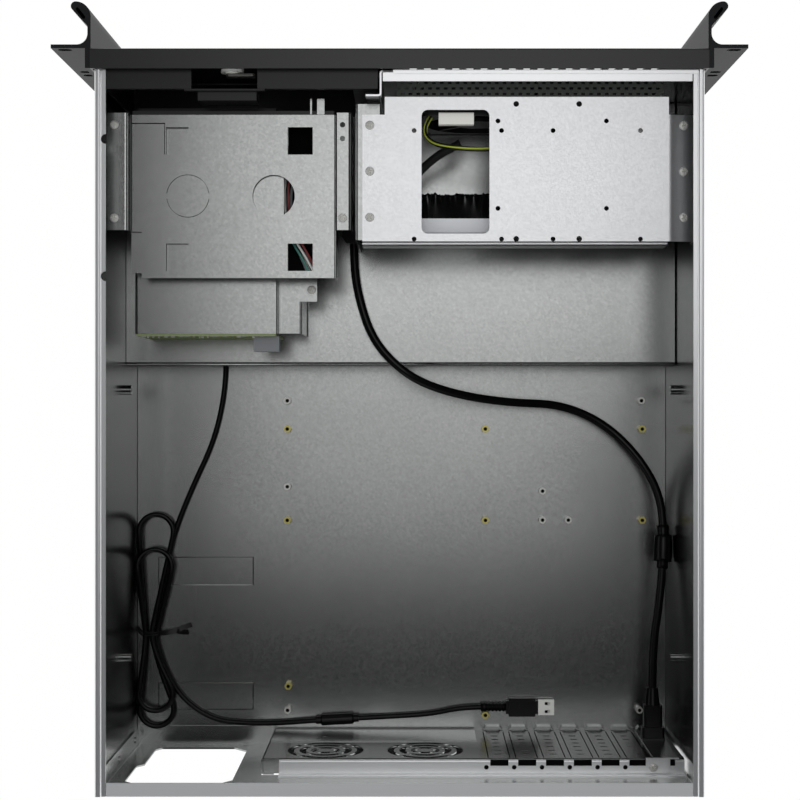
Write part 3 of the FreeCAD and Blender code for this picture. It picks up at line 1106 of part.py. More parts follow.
def rear_plug():
    """Plug in the bracket: a tapering relief, a shouldered body and a wide head."""
    x, z = slot_x, SOCKET_Z
    seat = y_io - 2.4
    shoulder = seat - PLUG_HEAD
    neck = shoulder - PLUG_BODY
    relief = Part.makeCone(4.2, 5.6, PLUG_RELIEF, V(x, neck - PLUG_RELIEF, z), V(0, 1, 0))
    body = chamfered_box(x - 7, x + 7, neck, shoulder, z - 5.2, z + 5.2, 1.6, "Y")
    head = chamfered_box(x - 8.6, x + 8.6, shoulder, seat, z - 6.6, z + 6.6, 1.6, "Y")
    return relief.fuse([body, head]).removeSplitter()


save("rear_plug", rear_plug())

# The coiled-up part of the thin lead: a slim hank, drawn in at its tie.
hank_z = (2 * SHEET + 0.1, 2 * SHEET + 0.1 + HANK_HEIGHT)
save("usb_hank", prism(HANK, "XY", *hank_z))
tie_x = (HANK[-2][0] - 0.9, HANK[8][0] + 0.9)
tie_y = (TIE_Y - TIE_WIDTH / 2, TIE_Y + TIE_WIDTH / 2)
band = box(*tie_x, *tie_y, hank_z[0] - 0.8, hank_z[1] + 0.8)
band = band.cut(box(tie_x[0] + 0.85, tie_x[1] - 0.85, tie_y[0] - 1, tie_y[1] + 1,
                    hank_z[0] - 0.05, hank_z[1] + 0.05))
bend_x, end_x = tie_x[0] - TAIL_REACH[0], tie_x[0] - TAIL_REACH[1]
bend_y, end_y, short_y = [TIE_Y - drift for drift in TAIL_DRIFT]
tails = [rod((tie_x[0] + 0.5, TIE_Y, FLOOR + 8), (bend_x, bend_y, FLOOR + 5), TAIL_R),
         rod((bend_x + 0.4, bend_y, FLOOR + 5.1), (end_x, end_y, FLOOR + 2.5), TAIL_R),
         rod((tie_x[1] - 0.3, TIE_Y, FLOOR + 9.6), (tie_x[1] + TAIL_REACH[2], short_y, FLOOR + 13), TAIL_R)]
save("twist_tie", band.fuse(tails).removeSplitter())

overmould_x = USB_OUT_ROUTE[-1][0]
overmould_y = USB_OUT_ROUTE[-1][1]
overmould_z = USB_OUT_ROUTE[-1][2]
relief = Part.makeCone(2.6, 3.6, 15.7, V(overmould_x, overmould_y, overmould_z), V(-1, 0, 0))
grip = chamfered_box(overmould_x - 41.9, overmould_x - 15.7, overmould_y - 7.3, overmould_y + 7.3,
                     FLOOR + 0.1, overmould_z + 4.2, 1.6, "X")
save("usb_grip", relief.fuse(grip).removeSplitter())
shell = box(overmould_x - 54.5, overmould_x - 41.9, overmould_y - 6.0, overmould_y + 6.0,
            overmould_z - 2.25, overmould_z + 2.25)
room = box(overmould_x - 55.5, overmould_x - 43.5, overmould_y - 5.7, overmould_y + 5.7,
           overmould_z - 1.95, overmould_z + 1.95)
tongue = box(overmould_x - 53.5, overmould_x - 43, overmould_y - 5.4, overmould_y + 5.4,
             overmould_z - 1.8, overmould_z - 0.2)
windows = [box(overmould_x - 51.0, overmould_x - 48.6, y - 1.2, y + 1.2, overmould_z + 1, overmould_z + 3)
           for y in (overmould_y - 3, overmould_y + 3)]
save("usb_shell", shell.cut([room] + windows).fuse(tongue).removeSplitter())

fan_top = fan_z + FAN_SIZE / 2
fan_rear = y_wall + FAN_DEPTH
lead("fan_wires", moved(FAN_WIRE_ROUTE, vent_centre_x, fan_rear, fan_z), FAN_WIRE_R)
save("fan_connector", rounded_box(vent_centre_x + 45.1, vent_centre_x + 70.1, fan_rear - 1.2, fan_rear + 7.6,
                                  fan_top, fan_top + 7.4, 1.0, "X"))
lead("cage_wires", moved(CAGE_WIRE_ROUTE, bay_x[0], bay_y[0], DECK_TOP), CAGE_WIRE_R)

# ---- Rivets in the rear panel's side flanges -------------------------------------------
rivets = []
rivet_y = y_panel - SIDE_FLANGE / 2
for sign in (-1, 1):
    for z in (PSU_Z[0] + 5.4, LEDGE_TOP - 22, PSU_Z[1] + 12):
        face = sign * (inner_x - SHEET)
        rivets.append(rod((face, rivet_y, z), (face - sign * 0.9, rivet_y, z), 2.5))
save("panel_rivets", Part.makeCompound(rivets))
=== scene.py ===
# %% [markdown]
# # An open rackmount server case
# The case is folded from thin galvanised steel, with a painted front and extruded ears.
# The frame that loads first holds every solid at its real place, in metres. This lesson gives
# each of them a finish, and adds what solids leave out: leads, screws, wires and small marks.

# %% Load the frame
import json
import math
import random

import bmesh
import bpy
from mathutils import Matrix, Vector


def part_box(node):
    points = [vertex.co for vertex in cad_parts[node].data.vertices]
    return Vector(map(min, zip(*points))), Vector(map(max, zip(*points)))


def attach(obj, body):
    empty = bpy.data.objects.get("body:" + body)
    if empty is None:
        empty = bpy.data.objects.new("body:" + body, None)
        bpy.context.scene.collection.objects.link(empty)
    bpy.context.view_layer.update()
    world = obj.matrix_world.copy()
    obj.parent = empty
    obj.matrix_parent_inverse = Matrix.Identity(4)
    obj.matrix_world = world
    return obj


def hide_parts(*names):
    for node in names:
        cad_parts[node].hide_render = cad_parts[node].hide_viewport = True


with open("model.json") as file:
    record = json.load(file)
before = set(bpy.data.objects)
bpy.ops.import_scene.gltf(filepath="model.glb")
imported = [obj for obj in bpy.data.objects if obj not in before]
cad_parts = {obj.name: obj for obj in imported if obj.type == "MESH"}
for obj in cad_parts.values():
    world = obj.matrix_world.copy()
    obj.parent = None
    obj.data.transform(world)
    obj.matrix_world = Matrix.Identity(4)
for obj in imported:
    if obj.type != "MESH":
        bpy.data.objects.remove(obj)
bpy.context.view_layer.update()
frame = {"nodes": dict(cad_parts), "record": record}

# %% [markdown]
# Sizes on this object are known in millimetres, and Blender works in metres. One factor
# keeps the numbers readable. The case's outer lines come from the frame's own boxes, so they
# follow the solids.

# %% Units and the case's main lines
MM = 0.001
SHEET = 1.2 * MM  # thickness of the folded sheet steel
LEDGE_TOP = 112.0 * MM  # top of the ledge over the card slots


def metres(points):
    """Points written in millimetres, as vectors in metres."""
    return [Vector(point) * MM for point in points]


def in_scene(name, data):
    """An object that shows the given data, linked into the scene."""
    piece = bpy.data.objects.new(name, data)
    bpy.context.collection.objects.link(piece)
    return piece


tub_low, tub_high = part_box("chassis_tub")
panel_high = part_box("rear_panel")[1]
print("case: %.1f mm wide, %.1f mm deep" % tuple((tub_high[i] - tub_low[i]) / MM for i in (0, 1)))

# %% [markdown]
# ## Camera
# A case with its lid off is shown best from straight above, like a drawing. A longer lens
# keeps the walls from leaning out too far. The camera hangs over the middle of the case with
# its top towards the front panel, which puts the case's right side on the picture's left.

# %% Camera over the open case
CAMERA_HEIGHT = 1.322
camera_data = bpy.data.cameras.new("camera")
camera_data.lens = 74.5
camera_data.sensor_width = 36
camera_data.shift_x = -0.01875
camera_data.shift_y = 0.0075
camera = in_scene("camera", camera_data)
camera.location = (-0.0107, 0.0044, CAMERA_HEIGHT)
camera.rotation_euler = (0, 0, math.pi)
bpy.context.scene.camera = camera

# %% [markdown]
# ## Nodes and colours
# Colours are written as sRGB hex, the way a paint or a screen gives them, and turned to the
# linear values that a shader works with. One small function adds a node: its settings are
# keyword arguments, and its sockets take a value or a link. Sums, mixes, noise and bumps come
# up in most materials, so each has a short function of its own.

# %% Helpers for every material


def linear(hex_colour):
    """An sRGB hex colour as linear RGBA."""
    channels = [int(hex_colour[i:i + 2], 16) / 255 for i in (1, 3, 5)]
    return [c / 12.92 if c <= 0.04045 else ((c + 0.055) / 1.055) ** 2.4 for c in channels] + [1.0]


def fill(tree, node, sockets):
    """Gives each socket its value, or links it to the output it is given."""
    for name, value in sockets.items():
        if isinstance(value, bpy.types.NodeSocket):
            tree.links.new(value, node.inputs[name])
        else:
            node.inputs[name].default_value = value


def add(tree, kind, sockets=None, **settings):
    """Adds one node with its settings, and fills its sockets."""
    node = tree.nodes.new(kind)
    for name, value in settings.items():
        setattr(node, name, value)
    fill(tree, node, sockets or {})
    return node


def new_material(name):
    """An empty material: its tree, and a shader joined to the output."""
    material = bpy.data.materials.new(name)
    material.use_nodes = True
    tree = material.node_tree
    tree.nodes.clear()
    shader = add(tree, "ShaderNodeBsdfPrincipled")
    add(tree, "ShaderNodeOutputMaterial", {"Surface": shader.outputs["BSDF"]})
    return material, tree, shader


def maths(tree, operation, *values):
    """The result of one arithmetic node."""
    return add(tree, "ShaderNodeMath", dict(enumerate(values)), operation=operation).outputs[0]


def mix_values(tree, share, low, high):
    return add(tree, "ShaderNodeMix", {0: share, 2: low, 3: high}).outputs[0]


def mix_colours(tree, share, low, high):
    return add(tree, "ShaderNodeMix", {0: share, 6: low, 7: high}, data_type="RGBA").outputs[2]


def noise(tree, place, size, detail=2.0):
    """Soft noise with lumps of about the given size."""
    return add(tree, "ShaderNodeTexNoise", {"Vector": place, "Scale": 1 / size, "Detail": detail}).outputs[0]


def bump(tree, height, strength, depth):
    """Surface directions that make a height pattern look raised."""
    return add(tree, "ShaderNodeBump", {"Height": height, "Strength": strength, "Distance": depth}).outputs[0]


# %% [markdown]
# ## Studio
# The case lies on a white table in an evenly lit white room. Polished or zinc-coated sheet
# shows whatever hangs above it, so a photographer holds a dark flag overhead and lets two soft
# panels shine past it: the metal then turns gently from light to dark instead of staying flat.
# Only mirrored rays see the flag, so it takes no light away from the case. The room and the
# table are plain white wherever the camera or a mirror looks at them.

# %% Plain colours on screen
bpy.context.scene.view_settings.view_transform = "Standard"

# %% White room


def seen_rays(tree):
    """1 for a ray from the camera, a mirror or glass, and 0 for light that falls on things."""
    rays = add(tree, "ShaderNodeLightPath").outputs
    seen = maths(tree, "MAXIMUM", rays["Is Camera Ray"], rays["Is Glossy Ray"])
    return maths(tree, "MAXIMUM", seen, rays["Is Transmission Ray"])


ROOM_LEVEL = 0.85
world = bpy.data.worlds.new("white_room")
bpy.context.scene.world = world
world.use_nodes = True
tree = world.node_tree
tree.nodes.clear()
room = add(tree, "ShaderNodeBackground", {"Color": linear("#f4f6f8"), "Strength": ROOM_LEVEL})
backdrop = add(tree, "ShaderNodeBackground", {"Color": linear("#ffffff"), "Strength": 1.0})
either = add(tree, "ShaderNodeMixShader", {0: seen_rays(tree), 1: room.outputs[0], 2: backdrop.outputs[0]})
add(tree, "ShaderNodeOutputWorld", {"Surface": either.outputs[0]})

# %% Table
TABLE_SIZE = 9.0
TABLE_TOP = -0.0005  # a hair under the case, so that the two faces don't mix
WHITE_SHARE = 0.995  # how much of the table's look is its own white glow


def studio_square(name, size, height, material):
    """A level square that belongs to the studio."""
    mesh = bpy.data.meshes.new(name)
    corners = [(x * size / 2, y * size / 2, 0) for x, y in ((-1, -1), (1, -1), (1, 1), (-1, 1))]
    mesh.from_pydata(corners, [], [(0, 1, 2, 3)])
    mesh.materials.append(material)
    square = in_scene(name, mesh)
    square.location = (0, 0, height)
    return square


table_white, tree, shader = new_material("white_laminate_table")
fill(tree, shader, {"Base Color": linear("#f2f2f2"), "Roughness": 0.9})
glow = add(tree, "ShaderNodeEmission", {"Color": linear("#ffffff"), "Strength": 1.0})
share = maths(tree, "MULTIPLY", seen_rays(tree), WHITE_SHARE)
lit = add(tree, "ShaderNodeMixShader", {0: share, 1: shader.outputs[0], 2: glow.outputs[0]})
output = next(node for node in tree.nodes if node.type == "OUTPUT_MATERIAL")
fill(tree, output, {"Surface": lit.outputs[0]})
studio_square("table", TABLE_SIZE, TABLE_TOP, table_white)

# %% Flag and lamps
FLAG_HEIGHT = 2.05
FLAG_WIDTH = 8.0
flag_black, tree, shader = new_material("black_cotton_flag")
fill(tree, shader, {"Base Color": linear("#101011"), "Roughness": 1.0})
flag = studio_square("overhead_flag", FLAG_WIDTH, FLAG_HEIGHT, flag_black)
flag.visible_camera = False
flag.visible_diffuse = False
flag.visible_shadow = False


def soft_panel(name, location, size, brightness):
    """A soft lamp that faces straight down; its brightness is what a mirror would show."""
    lamp = bpy.data.lights.new(name, "AREA")
    lamp.shape = "RECTANGLE"
    lamp.size, lamp.size_y = size
    lamp.energy = brightness * math.pi * size[0] * size[1]
    in_scene(name, lamp).location = location


PANEL_HEIGHT = FLAG_HEIGHT - 0.05
soft_panel("front_panel", (-0.12, -0.47, PANEL_HEIGHT), (1.0, 0.74), 1.35)
soft_panel("middle_panel", (0.0, 0.1, PANEL_HEIGHT), (0.76, 0.38), 0.8)
print("flag at %.2f m, room level %.2f" % (FLAG_HEIGHT, ROOM_LEVEL))

# %% [markdown]
# ## Shapes used more than once
# Small parts come from a few helpers: a mesh from plain lists, even places round a circle and
# the faces between two such rings, a smooth line inside the corners of a route, a tube with
# ribs round such a line, and a box with softened edges. One more gives a thin sheet its
# thickness.

# %% Shape helpers


def mesh_object(name, vertices, faces, material, smooth=True):
    """A mesh object from plain lists, with one finish or none yet."""
    mesh = bpy.data.meshes.new(name)
    mesh.from_pydata(vertices, [], faces)
    mesh.validate()
    if material:
        mesh.materials.append(material)
    mesh.polygons.foreach_set("use_smooth", [smooth] * len(mesh.polygons))
    return in_scene(name, mesh)


def thicken(piece, depth, offset=-1.0):
    """Gives a sheet its thickness, below its faces or (offset 1) above them."""
    thickness = piece.modifiers.new("thickness", "SOLIDIFY")
    thickness.thickness = depth
    thickness.offset = offset


def circle(count):
    """Even places round a circle of radius one."""
    return [(math.cos(math.tau * k / count), math.sin(math.tau * k / count)) for k in range(count)]


def ring_faces(low, high, count):
    """The faces between two rings of points, each given by the number of its first point."""
    return [(low + k, low + (k + 1) % count, high + (k + 1) % count, high + k) for k in range(count)]


def smooth_line(points, steps):
    """Points on the smooth quadratic line inside the corners of a route, in metres."""
    corners = metres(points)
    line = []
    for index in range(1, len(corners) - 1):
        start = corners[0] if index == 1 else (corners[index - 1] + corners[index]) / 2
        end = corners[-1] if index == len(corners) - 2 else (corners[index] + corners[index + 1]) / 2
        for step in range(steps):
            share = step / steps
            line.append(start.lerp(corners[index], share).lerp(corners[index].lerp(end, share), share))
    line.append(corners[-1])
    return line


def direction(line, index):
    """The way a line runs at one of its points."""
    return line[min(index + 1, len(line) - 1)] - line[max(index - 1, 0)]


def ribbed_tube(name, line, finish, radius, rib, pitch, around=20):
    """A closed tube round a line, with raised ribs at an even pitch; sizes in millimetres."""
    vertices, faces, travelled = [], [], 0.0
    for index, point in enumerate(line):
        ahead = direction(line, index).normalized()
        side = (side - ahead * side.dot(ahead)).normalized() if index else ahead.orthogonal().normalized()
        up = ahead.cross(side)
        if index:
            travelled += (point - line[index - 1]).length
        wide = (radius + rib * math.sin(math.tau * travelled / (pitch * MM))) * MM
        vertices += [point + (side * x + up * y) * wide for x, y in circle(around)]
        if index:
            faces += ring_faces((index - 1) * around, index * around, around)
    faces.append(tuple(range(around - 1, -1, -1)))
    faces.append(tuple(range(len(vertices) - around, len(vertices))))
    return mesh_object(name, vertices, faces, finish)


def bevelled_box(name, low, high, finish, bevel=0.1, segments=2):
    """A box with softened edges, between two corners in millimetres, carried by the case."""
    shape = bmesh.new()
    bmesh.ops.create_cube(shape, size=1.0)
    low, high = Vector(low) * MM, Vector(high) * MM
    for vertex in shape.verts:
        vertex.co = Vector([(low[i] + high[i]) / 2 + vertex.co[i] * (high[i] - low[i]) for i in range(3)])
    bmesh.ops.bevel(shape, geom=shape.edges[:], offset=bevel * MM, segments=segments, affect="EDGES")
    mesh = bpy.data.meshes.new(name)
    shape.to_mesh(mesh)
    shape.free()
    mesh.materials.append(finish)
    piece = in_scene(name, mesh)
    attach(piece, "case")
    return piece


# %% [markdown]
# ## Cords
# Two leads lie in the case. The heavy one runs from a socket on the deck to a plug in the
# last card slot. The thin one comes from the front controls under the deck, is wound into a
# tied hank by the right wall, and ends in a USB plug. Each is a NURBS curve: its control
# points are the lead's route, and the curve passes smoothly inside their corners.

# %% Routes of the two leads, in millimetres
HEAVY_ROUTE = (
    (35.6, -118.7, 64), (35.6, -100, 64), (31.5, -76, 61.5), (23, -50, 63.5), (8.5, -30.5, 66),
    (-13, -14, 64.5), (-46, -3.5, 49), (-86, 2, 34.5), (-125, 3, 22.5), (-160, 18, 18.5),
    (-187, 45, 22), (-202, 74, 31), (-203.4, 103, 37.5), (-202.6, 124.6, 40),
    (-199.5, 158, 42), (-194.3, 190, 42), (-194.3, 222, 42),
)
USB_IN_ROUTE = (
    (140, -229.2, 29), (140, -211, 29), (139.6, -186, 16.5), (141.6, -158, 5.2),
    (142.6, -122, 3.6), (139.6, -78, 3.6), (139.4, -40, 3.6), (140.6, -6, 3.6), (149, 32, 3.6),
    (167, 70, 3.6), (182, 108, 4.8),
)
USB_OUT_ROUTE = (
    (194.6, 192, 6.5), (188, 214, 5.2), (174, 238, 4.8), (150, 254, 4.8), (124, 256.8, 4.6),
    (96, 256.6, 4.8), (68, 254.2, 5.8), (34, 252.4, 5.8), (8, 251.4, 3.9), (-24, 249.4, 3.9),
    (-48, 243.8, 5.6), (-66.6, 243.8, 5.6),
)
HEAVY_DIAMETER = 6.4 * MM
USB_DIAMETER = 4.2 * MM

# %% [markdown]
# The hank is two long turns laid one on another and drawn in at a tie. Each turn goes to the
# rear, round a wide fold, back through the tie, and round a fold at the front. A loop over the
# four folds writes the points. A fold is a little more than half a circle in a leaning plane,
# so the lead never bends tighter than three of its own diameters, as soft PVC lies when
# nothing pulls on it. The lead comes in at the bottom and leaves beside the strands.

# %% Turns of the hank
FOLD_RADIUS = 13.4
FOLD_PARTS = 8  # straight parts of a fold between its corners
CORNER_REACH = 1.03  # the corners lie just outside the curve that they draw
STRAND_SHARES = (0.3, 0.58, 0.82)  # where a strand's corners lie on its way to a fold
TIE_SPOTS = ((198.5, 185, 4.3), (202.8, 185, 4.3), (198.7, 185, 8.4), (202.9, 185, 8.4),
             (194.4, 185, 6.6))
# Each fold: tip x and y, height of its middle, lean, droop at its tip, how late its strands
# open out, and how far past a half circle it runs
FOLDS = ((194.7, 259.0, 5.4, 3, 0.0, 1.4, 25), (194.5, 90.6, 9.6, 3, 0.8, 1.0, 14),
         (194.9, 246.0, 9.8, 4, 0.0, 1.4, 25), (195.1, 118.0, 14.0, 5, 1.0, 1.0, 16))
WAY_TO_TIE = ((187.2, 135, 4.4), (193.6, 162, 4.3))


def strand(start, end, lateness):
    """Points from the tie to a fold: the strand leaves the tie and opens out."""
    points = []
    for share in STRAND_SHARES:
        point = start.lerp(end, share)
        point.x = start.x + (end.x - start.x) * share ** lateness
        points.append(point)
    return points


def fold_points(start, end, tip_x, tip_y, height, lean, droop, lateness, past):
    """One half turn of the hank, from the tie round a fold and back."""
    along = 1 if tip_y > start.y else -1
    side = 1 if end.x > start.x else -1
    radius = FOLD_RADIUS * CORNER_REACH
    tilt, past = math.radians(lean), math.radians(past)
    arc = []
    for step in range(FOLD_PARTS + 1):
        angle = -past + (math.pi + 2 * past) * step / FOLD_PARTS
        across = -side * math.cos(angle) * radius
        reach = math.sin(angle) * radius
        arc.append(Vector((tip_x + across * math.cos(tilt),
                           tip_y - along * (FOLD_RADIUS - reach),
                           height + across * math.sin(tilt) - droop * max(0.0, math.sin(angle)))))
    return strand(start, arc[0], lateness) + arc + strand(end, arc[-1], lateness)[::-1]


def hank_points():
    """The whole hank's corners, in millimetres."""
    spots = [Vector(spot) for spot in TIE_SPOTS]
    points = [Vector(point) for point in WAY_TO_TIE] + [spots[0]]
    for start, end, fold in zip(spots, spots[1:], FOLDS):
        points += fold_points(start, end, *fold) + [end]
    return points


def curve_object(name, round_steps, along_steps):
    """A curve without splines yet; each will be a closed round tube."""
    curve = bpy.data.curves.new(name, "CURVE")
    curve.dimensions = "3D"
    curve.bevel_depth = 1.0  # scaled down by each point's radius
    curve.bevel_resolution = round_steps
    curve.resolution_u = along_steps
    curve.use_fill_caps = True
    return in_scene(name, curve)


def add_spline(curve, points, diameter):
    """One NURBS spline; each control point carries the tube's radius."""
    spline = curve.splines.new("NURBS")
    spline.points.add(len(points) - 1)
    for spot, point in zip(spline.points, points):
        spot.co = (*point, 1)
        spot.radius = diameter / 2
    spline.order_u = 3
    spline.use_endpoint_u = True
    return spline


def lead_curve(name, points, diameter):
    lead = curve_object(name, round_steps=5, along_steps=10)
    add_spline(lead.data, points, diameter)
    return lead


def centreline(lead):
    """The smooth line that a lead follows, as a list of points."""
    plain = lead.data.copy()
    plain.bevel_depth = 0
    ghost = bpy.data.objects.new("centreline", plain)
    mesh = bpy.data.meshes.new_from_object(ghost)
    points = [vertex.co.copy() for vertex in mesh.vertices]
    bpy.data.objects.remove(ghost)
    return points


def run_length(points):
    return sum((b - a).length for a, b in zip(points, points[1:]))


heavy_lead = lead_curve("round_lead", metres(HEAVY_ROUTE), HEAVY_DIAMETER)
usb_points = metres(USB_IN_ROUTE) + metres(hank_points()) + metres(USB_OUT_ROUTE)
usb_lead = lead_curve("usb_lead", usb_points, USB_DIAMETER)
heavy_line, usb_line = centreline(heavy_lead), centreline(usb_lead)
print("heavy lead %.3f m, thin lead %.3f m" % (run_length(heavy_line), run_length(usb_line)))

# %% [markdown]
# A twist tie holds the hank: a flat plastic ribbon with a wire down its middle. It goes once
# round the strands and ends in two tails, a long one bent over to the left and a short one
# standing up by the wall. The ribbon is a thin strip with a raised middle, swept along a line.

# %% Twist tie round the hank
RIBBON_WIDTH = 3.6 * MM
RIBBON_STEPS = 8  # points for each corner of a route
RIBBON_PROFILE = ((-0.5, 0.0), (-0.12, 0.0), (0.0, 0.14), (0.12, 0.0), (0.5, 0.0), (0.5, -0.1), (-0.5, -0.1))
BAND = ((192, 185, 7), (191.7, 185, 9.2), (194.2, 185, 10.8), (202.4, 185, 10.9),
        (205.4, 185, 10.6), (205.5, 185, 6), (205.4, 185, 2), (202, 185, 1.8),
        (195, 185, 1.8), (191.8, 185, 3), (191.9, 185, 7.4))
LONG_TAIL = ((191.8, 185, 7.4), (187, 184.6, 7.8), (181, 183.6, 7), (173.5, 180.6, 4.4),
             (167.4, 178.6, 3.6))
FORK = ((178.5, 183.2, 6.6), (174, 184.8, 5.2), (169.8, 184.6, 3.4))
SHORT_TAIL = ((204.6, 185, 10.4), (206.6, 183.2, 12.4), (208.4, 179.4, 14))


def ribbon(name, routes, width):
    """Flat strips with a raised middle, swept along smooth lines, as one piece."""
    vertices, faces = [], []
    count = len(RIBBON_PROFILE)
    for route, flat in routes:
        line = smooth_line(route, RIBBON_STEPS)
        first = len(vertices)
        for index, point in enumerate(line):
            ahead = direction(line, index).normalized()
            across = (flat - ahead * flat.dot(ahead)).normalized()
            up = ahead.cross(across)
            vertices += [point + across * (u * width) + up * (v * width) for u, v in RIBBON_PROFILE]
        for low in range(first, len(vertices) - count, count):
            faces += ring_faces(low, low + count, count)
        faces.append(tuple(range(first + count - 1, first - 1, -1)))
        faces.append(tuple(range(len(vertices) - count, len(vertices))))
    return mesh_object(name, vertices, faces, None, smooth=False)


level, tilted = Vector((0, 1, 0)), Vector((0.2, 0.9, 0.3))  # which way the ribbon's width lies
tie_routes = ((BAND, level), (LONG_TAIL, tilted), (FORK, tilted), (SHORT_TAIL, tilted))
twist_ribbon = ribbon("twist_tie_ribbon", tie_routes, RIBBON_WIDTH)

# %% Leads ride on the case and stand for their plain solids
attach(twist_ribbon, "case")
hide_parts("twist_tie")
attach(heavy_lead, "case")
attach(usb_lead, "case")
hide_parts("heavy_lead")
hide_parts("usb_lead_in", "usb_hank", "usb_lead_out")

# %% [markdown]
# ## Galvanised steel
# Most of the case is sheet steel with a zinc coat. The zinc freezes into small crystals, the
# spangle, each of which mirrors a slightly different direction. Cells of a Voronoi pattern
# give every crystal its own grey and its own roughness, and a fine noise adds the grain of
# the rolled sheet underneath.

# %% Zinc-coated sheet
SPANGLE_SIZE = 1.6 * MM  # one zinc crystal
GRAIN_SIZE = 0.7 * MM
GRAIN_DEPTH, GRAIN_RELIEF = 0.2 * MM, 0.004
CLOUD_SIZE, CLOUD_SHARE = 60 * MM, 0.45  # broad patches, and how much they count
DARK_ZINC, LIGHT_ZINC = "#9fa1a0", "#babcbb"
ZINC_ROUGHNESS, ROUGHNESS_SPREAD = 0.23, 0.02
# The rims' pale colour is a painted highlight; their roughness and metal give the satin shine
PAINTED_HIGHLIGHT_ZINC, SATIN_ROUGHNESS = "#eff0f1", 0.28
FACE_BAND = 0.3 * MM  # a face counts as a wall's inner face, and takes the painted shade, this close to it


def zinc_sheet(name, tones=(DARK_ZINC, LIGHT_ZINC), roughness=ZINC_ROUGHNESS, spangle=SPANGLE_SIZE,
               rim=None, rim_metal=0.84, painted_wall_shade=None):
    """Rolled sheet with a zinc coat: painted highlight and satin shine above the rim, painted shade on one
    wall's inner face.
    """
    material, tree, shader = new_material(name)
    place = add(tree, "ShaderNodeTexCoord").outputs["Object"]
    cells = add(tree, "ShaderNodeTexVoronoi", {"Vector": place, "Scale": 1 / spangle}, feature="F1")
    crystal = add(tree, "ShaderNodeSeparateColor", {"Color": cells.outputs["Color"]}).outputs
    grain = noise(tree, place, GRAIN_SIZE)
    fine = maths(tree, "MULTIPLY", maths(tree, "ADD", crystal[0], grain), 0.5)
    share = mix_values(tree, CLOUD_SHARE, fine, noise(tree, place, CLOUD_SIZE, detail=3.0))
    colour = mix_colours(tree, share, linear(tones[0]), linear(tones[1]))
    rough = add(tree, "ShaderNodeMapRange", {0: crystal[1], 3: roughness - ROUGHNESS_SPREAD,
                                             4: roughness + ROUGHNESS_SPREAD}).outputs[0]
    metal = 1.0
    along = add(tree, "ShaderNodeSeparateXYZ", {"Vector": place}).outputs
    # Painted shade: one wall's inner face takes a darker colour
    if painted_wall_shade:
        axis, distance, shade_tone = painted_wall_shade
        inside = maths(tree, "COMPARE", maths(tree, "ABSOLUTE", along[axis]), distance, FACE_BAND)
        colour = mix_colours(tree, inside, colour, linear(shade_tone))
    # Painted highlight: above the rim the colour turns pale, while roughness and metal turn satin
    if rim:
        rolled = maths(tree, "GREATER_THAN", along["Z"], rim)
        colour = mix_colours(tree, rolled, colour, linear(PAINTED_HIGHLIGHT_ZINC))
        rough = mix_values(tree, rolled, rough, SATIN_ROUGHNESS)
        metal = mix_values(tree, rolled, metal, rim_metal)
    fill(tree, shader, {"Base Color": colour, "Roughness": rough, "Metallic": metal,
                        "Normal": bump(tree, grain, GRAIN_RELIEF, GRAIN_DEPTH)})
    return material

# %% [markdown]
# The folded rims and the rear ledge face up and catch the light, so their colour is painted pale above
# a set height: a painted highlight, with a satin shine from their roughness. A wall's inner face stands
# upright and mirrors only what lies inside the case, so its colour is painted darker: painted shade that
# keeps it darker than the floor. The drive plate is a brighter, electroplated sheet.

# %% Five zinc sheets
PAINTED_HIGHLIGHT_DEPTH, LEDGE_HIGHLIGHT_DEPTH = 4 * MM, 0.6 * MM  # how far down the painted highlight reaches
TONGUE_REACH = 3.2 * MM  # the card pockets stand proud of the slotted wall
wall_inside = tub_high[0] - SHEET
slotted_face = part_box("io_wall")[0].y + TONGUE_REACH
highlight_bottom = panel_high[2] - PAINTED_HIGHLIGHT_DEPTH
galvanised = zinc_sheet("galvanised_steel_fine_spangle")
# Painted highlight on the tub's rims, painted shade on its side walls' inner faces
tub_steel = zinc_sheet("galvanised_steel_with_painted_rim_highlight_and_wall_shade", rim=highlight_bottom, painted_wall_shade=("X", wall_inside, "#646665"))
# Painted highlight on the rear panel's rim
rear_steel = zinc_sheet("galvanised_steel_with_painted_rear_rim_highlight", rim=highlight_bottom, rim_metal=0.6)
# Painted highlight on the ledge's top, painted shade on the slotted wall's face
ledge_steel = zinc_sheet("galvanised_steel_with_satin_ledge", rim=LEDGE_TOP - LEDGE_HIGHLIGHT_DEPTH, rim_metal=0.72,
                         painted_wall_shade=("Y", slotted_face, "#4c4e4d"))
electro_zinc = zinc_sheet("electro_galvanised_steel_pale", ("#e4e5e7", "#eeeff1"), 0.32, 1.0 * MM)

# %% [markdown]
# ## Painted, moulded and plated parts
# The front panel and its door carry a baked powder coat, which leaves a very fine orange peel.
# The ears are extruded aluminium under the same black coat. Plastics are moulded: smooth,
# slightly soft in their shine. Small screws are nickel plated.

# %% Coated and moulded finishes
COAT_DEPTH = 0.1 * MM


def coated(name, colour, roughness, texture_size, relief, metallic=0.0, specular=0.5):
    """A plain coloured surface with a fine raised texture, its size in millimetres."""
    material, tree, shader = new_material(name)
    pattern = noise(tree, add(tree, "ShaderNodeTexCoord").outputs["Object"], texture_size * MM)
    fill(tree, shader, {"Base Color": linear(colour), "Roughness": roughness, "Metallic": metallic,
                        "Specular IOR Level": specular, "Normal": bump(tree, pattern, relief, COAT_DEPTH)})
    return material


